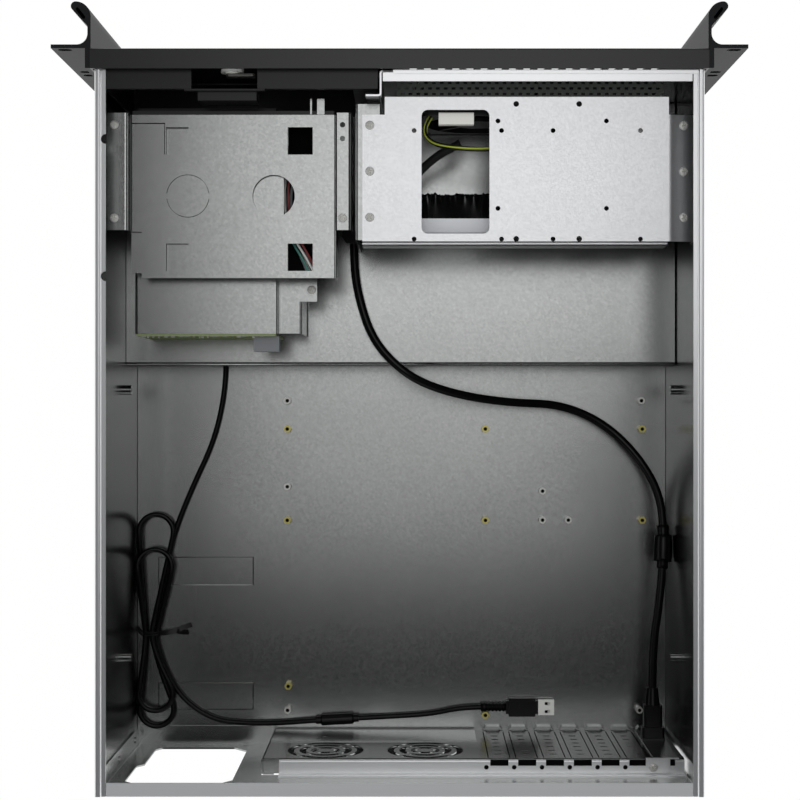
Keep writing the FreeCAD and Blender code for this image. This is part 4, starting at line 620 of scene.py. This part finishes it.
finishes = {
    "galvanised_steel": galvanised,
    "bright_steel": electro_zinc,
    "zinc_screws": coated("nickel_plated_steel_screws", "#d8d7d2", 0.34, 1.0, 0.05, metallic=0.5),
    "brass": coated("turned_brass", "#d9cd7c", 0.34, 0.6, 0.05, metallic=0.75),
    "charcoal_paint": coated("charcoal_powder_coat", "#131315", 0.36, 0.9, 0.15, specular=0.75),
    "black_anodised": coated("black_coated_extruded_aluminium", "#161719", 0.5, 0.9, 0.2, specular=0.25),
    "black_abs": coated("moulded_black_abs", "#161617", 0.38, 1.2, 0.12),
    "chrome_plate": coated("bright_nickel_plate", "#f2f2ec", 0.3, 3.0, 0.02, metallic=0.05),
    "bright_zinc": coated("bright_zinc_stamping", "#dcdcd6", 0.28, 1.0, 0.05, metallic=1.0),
    "clear_lens": coated("translucent_light_pipe", "#c4cfc2", 0.2, 2.0, 0.02),
    "black_pvc": coated("flexible_black_pvc", "#070708", 0.3, 1.5, 0.06, specular=0.35),
    "yellow_wire": coated("yellow_green_pvc_wire", "#b4b43c", 0.35, 1.5, 0.04),
    "black_sleeve": coated("woven_black_sleeve", "#1a1a1b", 0.6, 0.8, 0.4),
    "white_nylon": coated("natural_nylon", "#e4e2da", 0.42, 1.2, 0.05),
    "green_board": coated("pale_green_glass_epoxy_board", "#7e8b58", 0.4, 1.0, 0.1),
}

# %% Every solid takes the finish of its slot
slot_of = {part["node"]: part["material_slot"] for part in frame["record"]["subparts"]}
for node_name, node in frame["nodes"].items():
    node.data.materials.clear()
    node.data.materials.append(finishes[slot_of[node_name]])
for lead in (heavy_lead, usb_lead, twist_ribbon):
    lead.data.materials.append(finishes["black_pvc"])

# %% A few solids differ from the rest of their slot
grey_nylon = coated("grey_nylon_housing", "#6f7174", 0.5, 1.2, 0.05)
OWN_FINISHES = {"rear_panel": rear_steel, "chassis_tub": tub_steel, "front_wall": tub_steel,
                "io_wall": ledge_steel, "lead_bracket": ledge_steel,
                "steel_standoffs": finishes["zinc_screws"], "backplane_connector": grey_nylon}
for node_name, finish in OWN_FINISHES.items():
    frame["nodes"][node_name].data.materials[0] = finish
print("finishes: %d, and %d solids with their own" % (len(finishes), len(OWN_FINISHES)))

# %% [markdown]
# ## Screws
# The plate, the rails and the card bracket are held by small pan-head screws with a cross
# recess. A head is a shallow dome, so its outline is a curve turned round the screw's axis; the
# recess is pressed into it as a cross that gets narrower with depth. A grid of rings and spokes
# carries both: each point takes the dome's height, less the recess where the cross lies.

# %% Pan head with a cross recess
HEAD_HEIGHT = 1.7 * MM
CROWN_DROP, EDGE_DROP, EDGE_POWER = 0.34, 0.66, 14  # a gentle crown, then a rounded edge
RECESS_DEPTH = 1.1 * MM
RECESS_WALL = 0.16 * MM  # how far the sloping wall of the recess runs
ARM_SHARE, ARM_HALF_SHARE = 0.56, 0.13  # reach and half width of the cross's arms
HEAD_RINGS, HEAD_SPOKES = 18, 56
HEAD_SINK = 0.05 * MM  # the head's foot goes this far into the sheet


def head_height(x, y, radius):
    """The dome's height at one point of the head, less the cross recess."""
    share = min(1.0, math.hypot(x, y) / radius)
    dome = HEAD_HEIGHT * (1 - CROWN_DROP * share ** 2 - EDGE_DROP * share ** EDGE_POWER)
    arm, half = radius * ARM_SHARE, radius * ARM_HALF_SHARE
    inside = max(min(half - abs(x), arm - abs(y)), min(half - abs(y), arm - abs(x)))
    sink = max(0.0, min(1.0, (inside + RECESS_WALL / 4) / RECESS_WALL))
    return dome - RECESS_DEPTH * sink


def add_head(vertices, faces, place, radius):
    """Adds one head at a placing matrix whose Z is the screw's axis."""
    start = len(vertices)
    vertices.append(place @ Vector((0, 0, head_height(0, 0, radius))))
    for ring in range(1, HEAD_RINGS + 1):
        far = radius * ring / HEAD_RINGS
        vertices += [place @ Vector((far * x, far * y, head_height(far * x, far * y, radius)))
                     for x, y in circle(HEAD_SPOKES)]
    vertices += [place @ Vector((radius * x, radius * y, -HEAD_SINK)) for x, y in circle(HEAD_SPOKES)]
    for spoke in range(HEAD_SPOKES):
        after = (spoke + 1) % HEAD_SPOKES
        faces.append((start, start + 1 + spoke, start + 1 + after))
        for ring in range(HEAD_RINGS):
            low, high = start + 1 + ring * HEAD_SPOKES, start + 1 + (ring + 1) * HEAD_SPOKES
            faces.append((low + spoke, high + spoke, high + after, low + after))


def loose_parts(node):
    """The corner points of each separate solid in one node's mesh."""
    spots = [node.matrix_world @ vertex.co for vertex in node.data.vertices]
    keys = [tuple(round(value, 6) for value in spot) for spot in spots]
    parent = {key: key for key in keys}

    def root(key):
        while parent[key] != key:
            parent[key] = parent[parent[key]]
            key = parent[key]
        return key

    for edge in node.data.edges:
        a, b = root(keys[edge.vertices[0]]), root(keys[edge.vertices[1]])
        parent[a] = b
    parts = {}
    for key in parent:
        parts.setdefault(root(key), []).append(Vector(key))
    return list(parts.values())


def mean(points):
    return sum(points, Vector()) / len(points)


# %% [markdown]
# Each solid screw is a head on a shank. The middle of the shank's end and the middle of
# everything near the head give the screw's axis, so the ones in the plate's sloping margin
# tilt with it. Every recess is turned to its own angle, as a driver leaves it.

# %% One head for every screw
SHANK_LENGTH = 5.0 * MM
SHANK_RADIUS, SHANK_SIDES = 1.5 * MM, 16
HEAD_RADIUS = 3.2 * MM
FOOT_BAND = 1.2 * MM  # points this close to the lowest one belong to the shank's end
NEAR_HEAD = 0.9 * SHANK_LENGTH  # points further than this from the foot belong to the head
turns = random.Random(4)
vertices, faces = [], []
for points in loose_parts(frame["nodes"]["pan_screws"]):
    lowest = min(point.z for point in points)
    foot = mean([point for point in points if point.z < lowest + FOOT_BAND])
    top = mean([point for point in points if (point - foot).length > NEAR_HEAD])
    axis = (top - foot).normalized()
    turned = Vector((0, 0, 1)).rotation_difference(axis).to_matrix().to_4x4()
    place = Matrix.Translation(foot + axis * SHANK_LENGTH) @ turned
    add_head(vertices, faces, place @ Matrix.Rotation(turns.uniform(0, math.pi / 2), 4, "Z"), HEAD_RADIUS)
    rim = []
    for depth in (0.0, -SHANK_LENGTH):
        rim.append(len(vertices))
        vertices += [place @ Vector((SHANK_RADIUS * x, SHANK_RADIUS * y, depth))
                     for x, y in circle(SHANK_SIDES)]
    faces += ring_faces(rim[1], rim[0], SHANK_SIDES)
    faces.append(tuple(range(rim[1] + SHANK_SIDES - 1, rim[1] - 1, -1)))
screws = mesh_object("cross_recess_screws", vertices, faces, finishes["zinc_screws"])
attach(screws, "case")
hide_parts("pan_screws")
print("screws: %d faces" % len(faces))

# %% [markdown]
# ## Wires
# The fans' supply is a bundle of thin plastic-covered wires, and the bay's is the same with
# more colours. Each wire is drawn as its own tube: it follows the bundle's line, shifted a
# little to one side, and the shifts turn round the bundle so the wires lie loosely twisted.

# %% A bundle of wires


def bundle(name, points, finish_names, wires, spread, diameter, twist):
    """Wires at even places round one line; they are one object, with a slot for each colour."""
    piece = curve_object(name, round_steps=4, along_steps=8)
    for finish_name in finish_names:
        piece.data.materials.append(wire_finishes[finish_name])
    line = metres(points)
    for number in range(wires):
        shifted = []
        for index, point in enumerate(line):
            ahead = direction(line, index)
            side = ahead.cross(Vector((0, 0, 1))).normalized()
            up = side.cross(ahead).normalized()
            angle = math.tau * number / wires + twist * index
            shifted.append(point + (side * math.cos(angle) + up * math.sin(angle)) * spread * MM)
        add_spline(piece.data, shifted, diameter * MM).material_index = number % len(finish_names)
    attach(piece, "case")
    return piece


WIRE_COLOURS = {"yellow_green": "#a9b53a", "black": "#101011", "red": "#96403f",
                "white": "#d9d9d4", "green": "#4a8377", "grey": "#7c7f82"}
wire_finishes = {colour_name: coated(colour_name + "_pvc_insulation", colour, 0.35, 1.5, 0.03)
                 for colour_name, colour in WIRE_COLOURS.items()}

# %% The fans' wires
# They leave the connector under the plate, dip past the plate's window and rise to the fans.
FAN_LINE = ((-22, -203, 134), (-16.5, -195.5, 132), (-21, -184.5, 135.5),
            (-36, -180, 140.5), (-62, -178, 142), (-88, -182, 138),
            (-102, -193, 133), (-102, -203, 133))
fan_wires = bundle("fan_wire_pairs", FAN_LINE, ("yellow_green", "black"),
                   wires=4, spread=1.3, diameter=1.1, twist=0.5)
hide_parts("fan_wires")

# %% [markdown]
# ## Under the plate's window
# The window shows what lies between the plate and the deck: a black sleeved cable that runs
# from the fans' side, a strip of black film with a torn edge over the deck's rear part, and a
# pale foam strip that keeps the plate from rattling. The sleeve is a tube with braided ribs.

# %% Sleeved cable
SLEEVE_LINE = ((14, -139, 92), (4, -150, 97), (-9, -163, 101), (-20, -174, 104),
               (-31, -182, 106), (-44, -188, 108))
sleeve = ribbed_tube("braided_cable_sleeve", smooth_line(SLEEVE_LINE, 24), finishes["black_sleeve"],
                     radius=3.1, rib=0.18, pitch=1.6)
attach(sleeve, "case")

# %% Black film with a torn edge
FILM_X = (-76.0, -6.0)
FILM_FRONT, FILM_REAR = -152.0, -127.0
FILM_Z, FILM_RISE = 100.0, 5  # the film climbs towards its rear edge
FILM_COLUMNS, FILM_ROWS = 70, 14
tear = random.Random(11)
vertices, faces = [], []
for column in range(FILM_COLUMNS + 1):
    x = FILM_X[0] + (FILM_X[1] - FILM_X[0]) * column / FILM_COLUMNS
    ragged = 0.6 * math.sin(x * 0.33) + tear.uniform(-0.7, 0.7)
    for row in range(FILM_ROWS + 1):
        share = row / FILM_ROWS
        y = FILM_FRONT + ragged * (1 - share) ** 2 + (FILM_REAR - FILM_FRONT) * share
        ripple = (0.8 * math.sin(x * 0.21 + share * 2) * (1 - share)
                  + 0.9 * math.sin(x * 0.9) * (1 - share) ** 5)
        vertices.append(Vector((x, y, FILM_Z + ripple + FILM_RISE * share)) * MM)
for column in range(FILM_COLUMNS):
    for row in range(FILM_ROWS):
        corner = column * (FILM_ROWS + 1) + row
        faces.append((corner, corner + FILM_ROWS + 1, corner + FILM_ROWS + 2, corner + 1))
film_black = coated("black_polyester_film", "#0b0b0c", 0.16, 4.0, 0.05, specular=0.7)
film = mesh_object("black_film", vertices, faces, film_black)
thicken(film, 0.3 * MM)
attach(film, "case")

# %% Foam strip under the plate's rear edge
foam_grey = coated("closed_cell_foam_light_grey", "#dfe0e3", 0.75, 1.2, 0.3)
foam = bevelled_box("foam_strip", (-66, -129.8, 128), (-12, -118.6, 138), foam_grey, bevel=1.0)
print("window pieces:", sleeve.name, film.name, foam.name)

# %% [markdown]
# Over the fans a narrow guard of perforated sheet closes the gap in front of the plate, and a
# folded edge strip closes the joint between the front wall's flange and the painted panel.
# The guard is a grid of small frames, each with its slot left open.

# %% Perforated guard and edge strip
GUARD_X = (-188.0, 4.0)
GUARD_Y = (-228.0, -216.0)
GUARD_Z = 141.2
GUARD_ROWS = 3
PERFORATION_PITCH = 5.6
PERFORATION = (2.6, 1.7)
SLIP = 0.25 * PERFORATION_PITCH  # each row is shifted against the next
ROW_DEPTH = (GUARD_Y[1] - GUARD_Y[0]) / GUARD_ROWS
guard_columns = int((GUARD_X[1] - GUARD_X[0]) / PERFORATION_PITCH)
vertices, faces = [], []
for row in range(GUARD_ROWS):
    y = GUARD_Y[0] + (row + 0.5) * ROW_DEPTH
    slip = SLIP if row % 2 else -SLIP
    for column in range(guard_columns):
        x = GUARD_X[0] + (column + 0.5) * PERFORATION_PITCH
        start = len(vertices)
        for wide, deep, move in ((PERFORATION_PITCH, ROW_DEPTH, 0), (*PERFORATION, slip)):
            for sx, sy in ((-1, -1), (1, -1), (1, 1), (-1, 1)):
                vertices.append(Vector((x + move + sx * wide / 2, y + sy * deep / 2, GUARD_Z)) * MM)
        faces += ring_faces(start, start + 4, 4)
guard_steel = coated("phosphated_steel_sheet", "#5d615c", 0.5, 1.0, 0.1, metallic=0.3)
guard = mesh_object("perforated_fan_guard", vertices, faces, guard_steel, smooth=False)
thicken(guard, 0.6 * MM, offset=1)
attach(guard, "case")
edge_strip = bevelled_box("flange_edge_strip", (-208, -229.1, 172.2), (4.5, -226, 173.9), tub_steel,
                          bevel=0.4)
print("guard: %d slots" % (len(faces) // 4))

# %% [markdown]
# ## Inside the slim cage
# The cage's two open windows and its open knock-out look down on the bay. A matt black sheet
# on the bay is painted shade that keeps them dark, and a flat run of coloured wires lies on it.
# Two small tabs of the cage reach forward over the bay's front.

# %% Painted shade sheet, wires and tabs of the cage
# Painted shade: one matt black finish for the dark places that stand for shade
matt_black = coated("matt_black_painted_shade", "#070707", 0.85, 2.0, 0.03, specular=0.1)
# Painted shade: a matt black sheet on the bay keeps the cage's windows dark
cage_shade_sheet = bevelled_box("bay_painted_shade_sheet", (50.0, -199.0, 128.9), (80.4, -88.0, 129.5), matt_black)
LOOM_LINE = ((63, -90.5, 134), (67, -101, 136), (76, -116, 136.5),
             (80.6, -132, 135), (81, -150, 134), (78, -168, 133))
loom = bundle("bay_wire_loom", LOOM_LINE, ("red", "white", "green", "grey", "white", "grey"),
              wires=6, spread=3.0, diameter=1.7, twist=0.35)
for tab_name, left, right in (("cage_tab_wide", 53.4, 58.6), ("cage_tab_thin", 62.3, 63.5)):
    tab = bevelled_box(tab_name, (left, -213.2, 148.9), (right, -201.9, 150.1), tub_steel, bevel=0.3)
print("cage wires: %d" % len(loom.data.splines))

# %% [markdown]
# A second sheet is welded to the cage's outer side just under its plate. It closes the two
# windows there to shallow pockets, and its straight edge shows across the open knock-out.

# %% Backing sheet of the cage
BACKING_X, BACKING_Y = 82.5, (-196.0, -90.0)
BACKING_GAUGE, BACKING_DROP = 1.0, 3.7  # its thickness, and its top below the cage's
cage_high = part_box("drive_cage")[1] / MM
backing_top = cage_high[2] - BACKING_DROP
backing = bevelled_box("cage_backing_sheet", (BACKING_X, BACKING_Y[0], backing_top - BACKING_GAUGE),
                       (cage_high[0] - BACKING_GAUGE, BACKING_Y[1], backing_top), galvanised)

# %% Wires that leave the bay
SUPPLY_LINE = ((85.2, -186, 96), (81, -154, 115), (74, -126, 123.5),
               (59, -101, 115), (53.4, -95, 87), (53.4, -95, 55.6))
bay_wires = bundle("bay_supply_wires", SUPPLY_LINE, ("red", "black", "white", "green", "grey"),
                   wires=5, spread=1.7, diameter=1.5, twist=0.6)
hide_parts("cage_wires")

# %% [markdown]
# ## Mouldings on the leads
# The ferrite is a barrel of black plastic moulded over a ring. A soft sleeve with ribs comes out
# at both of its ends and keeps the lead from kinking. The plug of the thin lead has the same
# ribs behind a body with well rounded edges.

# %% Ferrite of the heavy lead


def stretch(line, axis, low, high):
    """The points of a line that lie between two places along one axis, in millimetres."""
    return [point for point in line if low * MM <= point[axis] <= high * MM]


RELIEF_REACH = 6.5  # how far the ribbed sleeve comes out of the ferrite
black_pvc = finishes["black_pvc"]
ferrite_low, ferrite_high = (edge[1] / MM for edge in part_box("heavy_ferrite"))
barrel_line = stretch(heavy_line, 1, ferrite_low, ferrite_high)
# One rib is twice as long as the barrel, so the barrel has a single gentle swelling
ferrite = ribbed_tube("ferrite_barrel", barrel_line, black_pvc, radius=6.7, rib=0.5,
                      pitch=2 * (ferrite_high - ferrite_low), around=32)
sleeve_line = stretch(heavy_line, 1, ferrite_low - RELIEF_REACH, ferrite_high + RELIEF_REACH)
ferrite_sleeve = ribbed_tube("ferrite_ribbed_sleeve", sleeve_line, black_pvc, radius=4.9, rib=0.6, pitch=2.8)
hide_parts("heavy_ferrite")

# %% Plug of the thin lead
PLUG_BODY_END = -83.0  # the body ends here, and the ribbed sleeve begins
SLEEVE_X = (-90, -62)
TAIL_POINTS = 90  # the lead's last points, along the rear wall
SLEEVE_STEPS = 24  # from the lead's end into the body's middle
grip_low, grip_high = (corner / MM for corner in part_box("usb_grip"))
plug_body = bevelled_box("usb_plug_moulding", grip_low, (PLUG_BODY_END, grip_high[1], grip_high[2]),
                         black_pvc, bevel=2.2, segments=4)
grip_middle = Vector((PLUG_BODY_END, (grip_low[1] + grip_high[1]) / 2, (grip_low[2] + grip_high[2]) / 2)) * MM
sleeve_line = stretch(usb_line[-TAIL_POINTS:], 0, *SLEEVE_X)
sleeve_line += [sleeve_line[-1].lerp(grip_middle, step / SLEEVE_STEPS) for step in range(1, SLEEVE_STEPS + 1)]
plug_sleeve = ribbed_tube("usb_ribbed_sleeve", sleeve_line, black_pvc, radius=3.1, rib=0.5, pitch=2.9)
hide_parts("usb_grip")

# %% Painted shade in the two windows of the plug's shell
SHELL_WINDOW, WINDOW_OFFSET = 2.2, 3.2  # its side, and its place off the shell's middle
WINDOW_TOP, WINDOW_DEPTH = 0.04, 0.1  # above and below the shell's top face
shell_low, shell_high = (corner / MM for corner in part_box("usb_shell"))
middle_x, middle_y = (shell_low[0] + shell_high[0]) / 2, (shell_low[1] + shell_high[1]) / 2
reach = SHELL_WINDOW / 2
# Painted shade: a matt black patch stands for the dark inside of each window
for side, y in (("left", middle_y - WINDOW_OFFSET), ("right", middle_y + WINDOW_OFFSET)):
    window = bevelled_box("usb_shell_window_painted_shade_" + side,
                          (middle_x - reach, y - reach, shell_high[2] - WINDOW_DEPTH),
                          (middle_x + reach, y + reach, shell_high[2] + WINDOW_TOP), matt_black, bevel=0.02)

# %% Mouldings ride with the case
for moulding in (ferrite, ferrite_sleeve, plug_sleeve):
    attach(moulding, "case")

# %% [markdown]
# Under the rear ledge lies a strip of matt black, which is painted shade: it makes the slots between
# the ledge's lugs look black from above. A short steel flap fills the ledge's open end. A flat steel
# rib stiffens the wall below the two fan grilles, and narrow matt black strips of painted shade close
# the slits beside the knock-out covers.

# %% Painted shade under the ledge
WALL_GAP = 4.5  # from the card pockets' front to just behind the slotted wall
END_FLAP = 13.5  # the ledge stops this far before the wall's end
REAR_SETBACK = 0.2  # the shade strip and the rib stay this far inside the rear face
SHADE_STRIP_DROP, SHADE_STRIP_THICKNESS, SHADE_STRIP_END = 4.6, 0.8, 0.5
io_low, io_high = (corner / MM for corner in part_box("io_wall"))
behind_wall = io_low[1] + WALL_GAP
rear_face = panel_high[1] / MM
ledge_end, ledge_top = io_high[0] - END_FLAP, LEDGE_TOP / MM
# Painted shade: a matt black strip under the ledge darkens the slots between its lugs
ledge_shade_strip = bevelled_box("ledge_painted_shade_strip",
                      (io_low[0] + SHADE_STRIP_END, behind_wall, ledge_top - SHADE_STRIP_DROP - SHADE_STRIP_THICKNESS),
                      (ledge_end, rear_face - REAR_SETBACK, ledge_top - SHADE_STRIP_DROP), matt_black)

# %% Flap in the ledge's open end
FLAP_DROP, FLAP_THICKNESS = 5.4, 1.2
FLAP_GAP, FLAP_SIDE, FLAP_REAR = 0.2, 1.3, 1.4  # clear of the ledge, the wall's end and the rear face
flap_bottom = ledge_top - FLAP_DROP - FLAP_THICKNESS
flap = bevelled_box("ledge_end_flap", (ledge_end + FLAP_GAP, behind_wall, flap_bottom),
                    (io_high[0] - FLAP_SIDE, rear_face - FLAP_REAR, ledge_top - FLAP_DROP), tub_steel)

# %% Rib behind the slotted wall
BLANK_SIDE = -56.0  # the rib starts just inside the blank plate's edge
RIB_TOP, RIB_THICKNESS = 49.5, 1.0
rib = bevelled_box("rear_rib", (BLANK_SIDE, behind_wall, RIB_TOP - RIB_THICKNESS),
                   (ledge_end, rear_face - REAR_SETBACK, RIB_TOP), galvanised)

# %% Painted shade at the slits of the knock-out covers
CARD_SLOTS, SLOT_PITCH = 7, 20.32
COVER_WIDTH, BRACKET_HALF = 15.8, 9.2
SLIT_HALF, SLIT_Z = 1.0, (8.0, 106.5)
STRIP_THICKNESS = 0.5
last_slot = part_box("lead_bracket")[0].x / MM + BRACKET_HALF
for cover in range(1, CARD_SLOTS):
    for side, side_name in ((-1, "right"), (1, "left")):  # as seen from behind
        middle = last_slot + cover * SLOT_PITCH + side * COVER_WIDTH / 2
        # Painted shade: a matt black strip in each slit
        strip = bevelled_box("slit_gasket_%d_%s" % (cover, side_name),
                             (middle - SLIT_HALF, behind_wall, SLIT_Z[0]),
                             (middle + SLIT_HALF, behind_wall + STRIP_THICKNESS, SLIT_Z[1]),
                             matt_black, bevel=0.05)
print("rear pieces: %d" % (3 + 2 * (CARD_SLOTS - 1)))

# %% [markdown]
# Every standoff has a threaded bore, which reads as a dark spot in its bright top. The bores are
# painted shade: thin black plugs, as wide as an M3 thread, that end a hair above the tops.

# %% Painted shade in the bores of the standoffs
BORE_RADIUS, BORE_STEPS = 1.45 * MM, 16
BORE_DEPTH, BORE_STAND = 0.3 * MM, 0.03 * MM  # the plug's height, and how proud its top is
vertices, faces = [], []
for node_name in ("brass_standoffs", "steel_standoffs"):
    for corners in loose_parts(frame["nodes"][node_name]):
        centre = mean(corners)
        top = max(corner.z for corner in corners) + BORE_STAND
        first = len(vertices)
        for height in (top - BORE_DEPTH, top):
            vertices += [(centre.x + x * BORE_RADIUS, centre.y + y * BORE_RADIUS, height)
                         for x, y in circle(BORE_STEPS)]
        upper = first + BORE_STEPS
        faces += ring_faces(first, upper, BORE_STEPS)
        faces += [tuple(range(upper - 1, first - 1, -1)), tuple(range(upper, upper + BORE_STEPS))]
# Painted shade: black discs where the threaded bores are dark
bores = mesh_object("standoff_bore_painted_shade", vertices, faces, matt_black, smooth=False)
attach(bores, "case")
print("standoff bores: %d" % (len(faces) // (BORE_STEPS + 2)))

# %% [markdown]
# Along its top edge the drive's circuit board carries small parts on the rear face: chip
# capacitors and resistors in a row, with the soldered legs of the sockets between them. They
# are simple blocks of three sizes in a fixed random order.

# %% Parts along the board's edge
CHIP_LENGTHS, CHIP_HEIGHTS, CHIP_GAPS = (0.8, 1.6, 3.2), (0.6, 1.0, 1.5), (0.9, 1.7, 3.0)
CHIP_DROPS = (0.4, 1.2, 2.0)  # below the board's top edge
CHIP_WIDTH = 1.6
ROW_START, ROW_END = 9 * MM, 4 * MM  # free board at both ends of the row
BLOCK_FACES = ((0, 1, 3, 2), (4, 6, 7, 5), (0, 4, 5, 1), (2, 3, 7, 6), (0, 2, 6, 4), (1, 5, 7, 3))
board_low, board_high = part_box("backplane_board")
random.seed(7)
chip_finish = coated("soldered_chip_parts", "#8b8c88", 0.5, 0.8, 0.1, metallic=0.2)
vertices, faces = [], []
place = board_low[0] + ROW_START
while place < board_high[0] - ROW_END:
    wide = random.choice(CHIP_LENGTHS) * MM
    deep = random.choice(CHIP_HEIGHTS) * MM
    top = board_high[2] - random.choice(CHIP_DROPS) * MM
    first = len(vertices)
    vertices += [(place + x * wide, board_high[1] + y * deep, top - z * CHIP_WIDTH * MM)
                 for x in (0, 1) for y in (0, 1) for z in (0, 1)]
    faces += [tuple(first + k for k in side) for side in BLOCK_FACES]
    place += wide + random.choice(CHIP_GAPS) * MM
chips = mesh_object("board_chip_parts", vertices, faces, chip_finish, smooth=False)
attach(chips, "case")
print("chips along the board: %d" % (len(vertices) // 8))
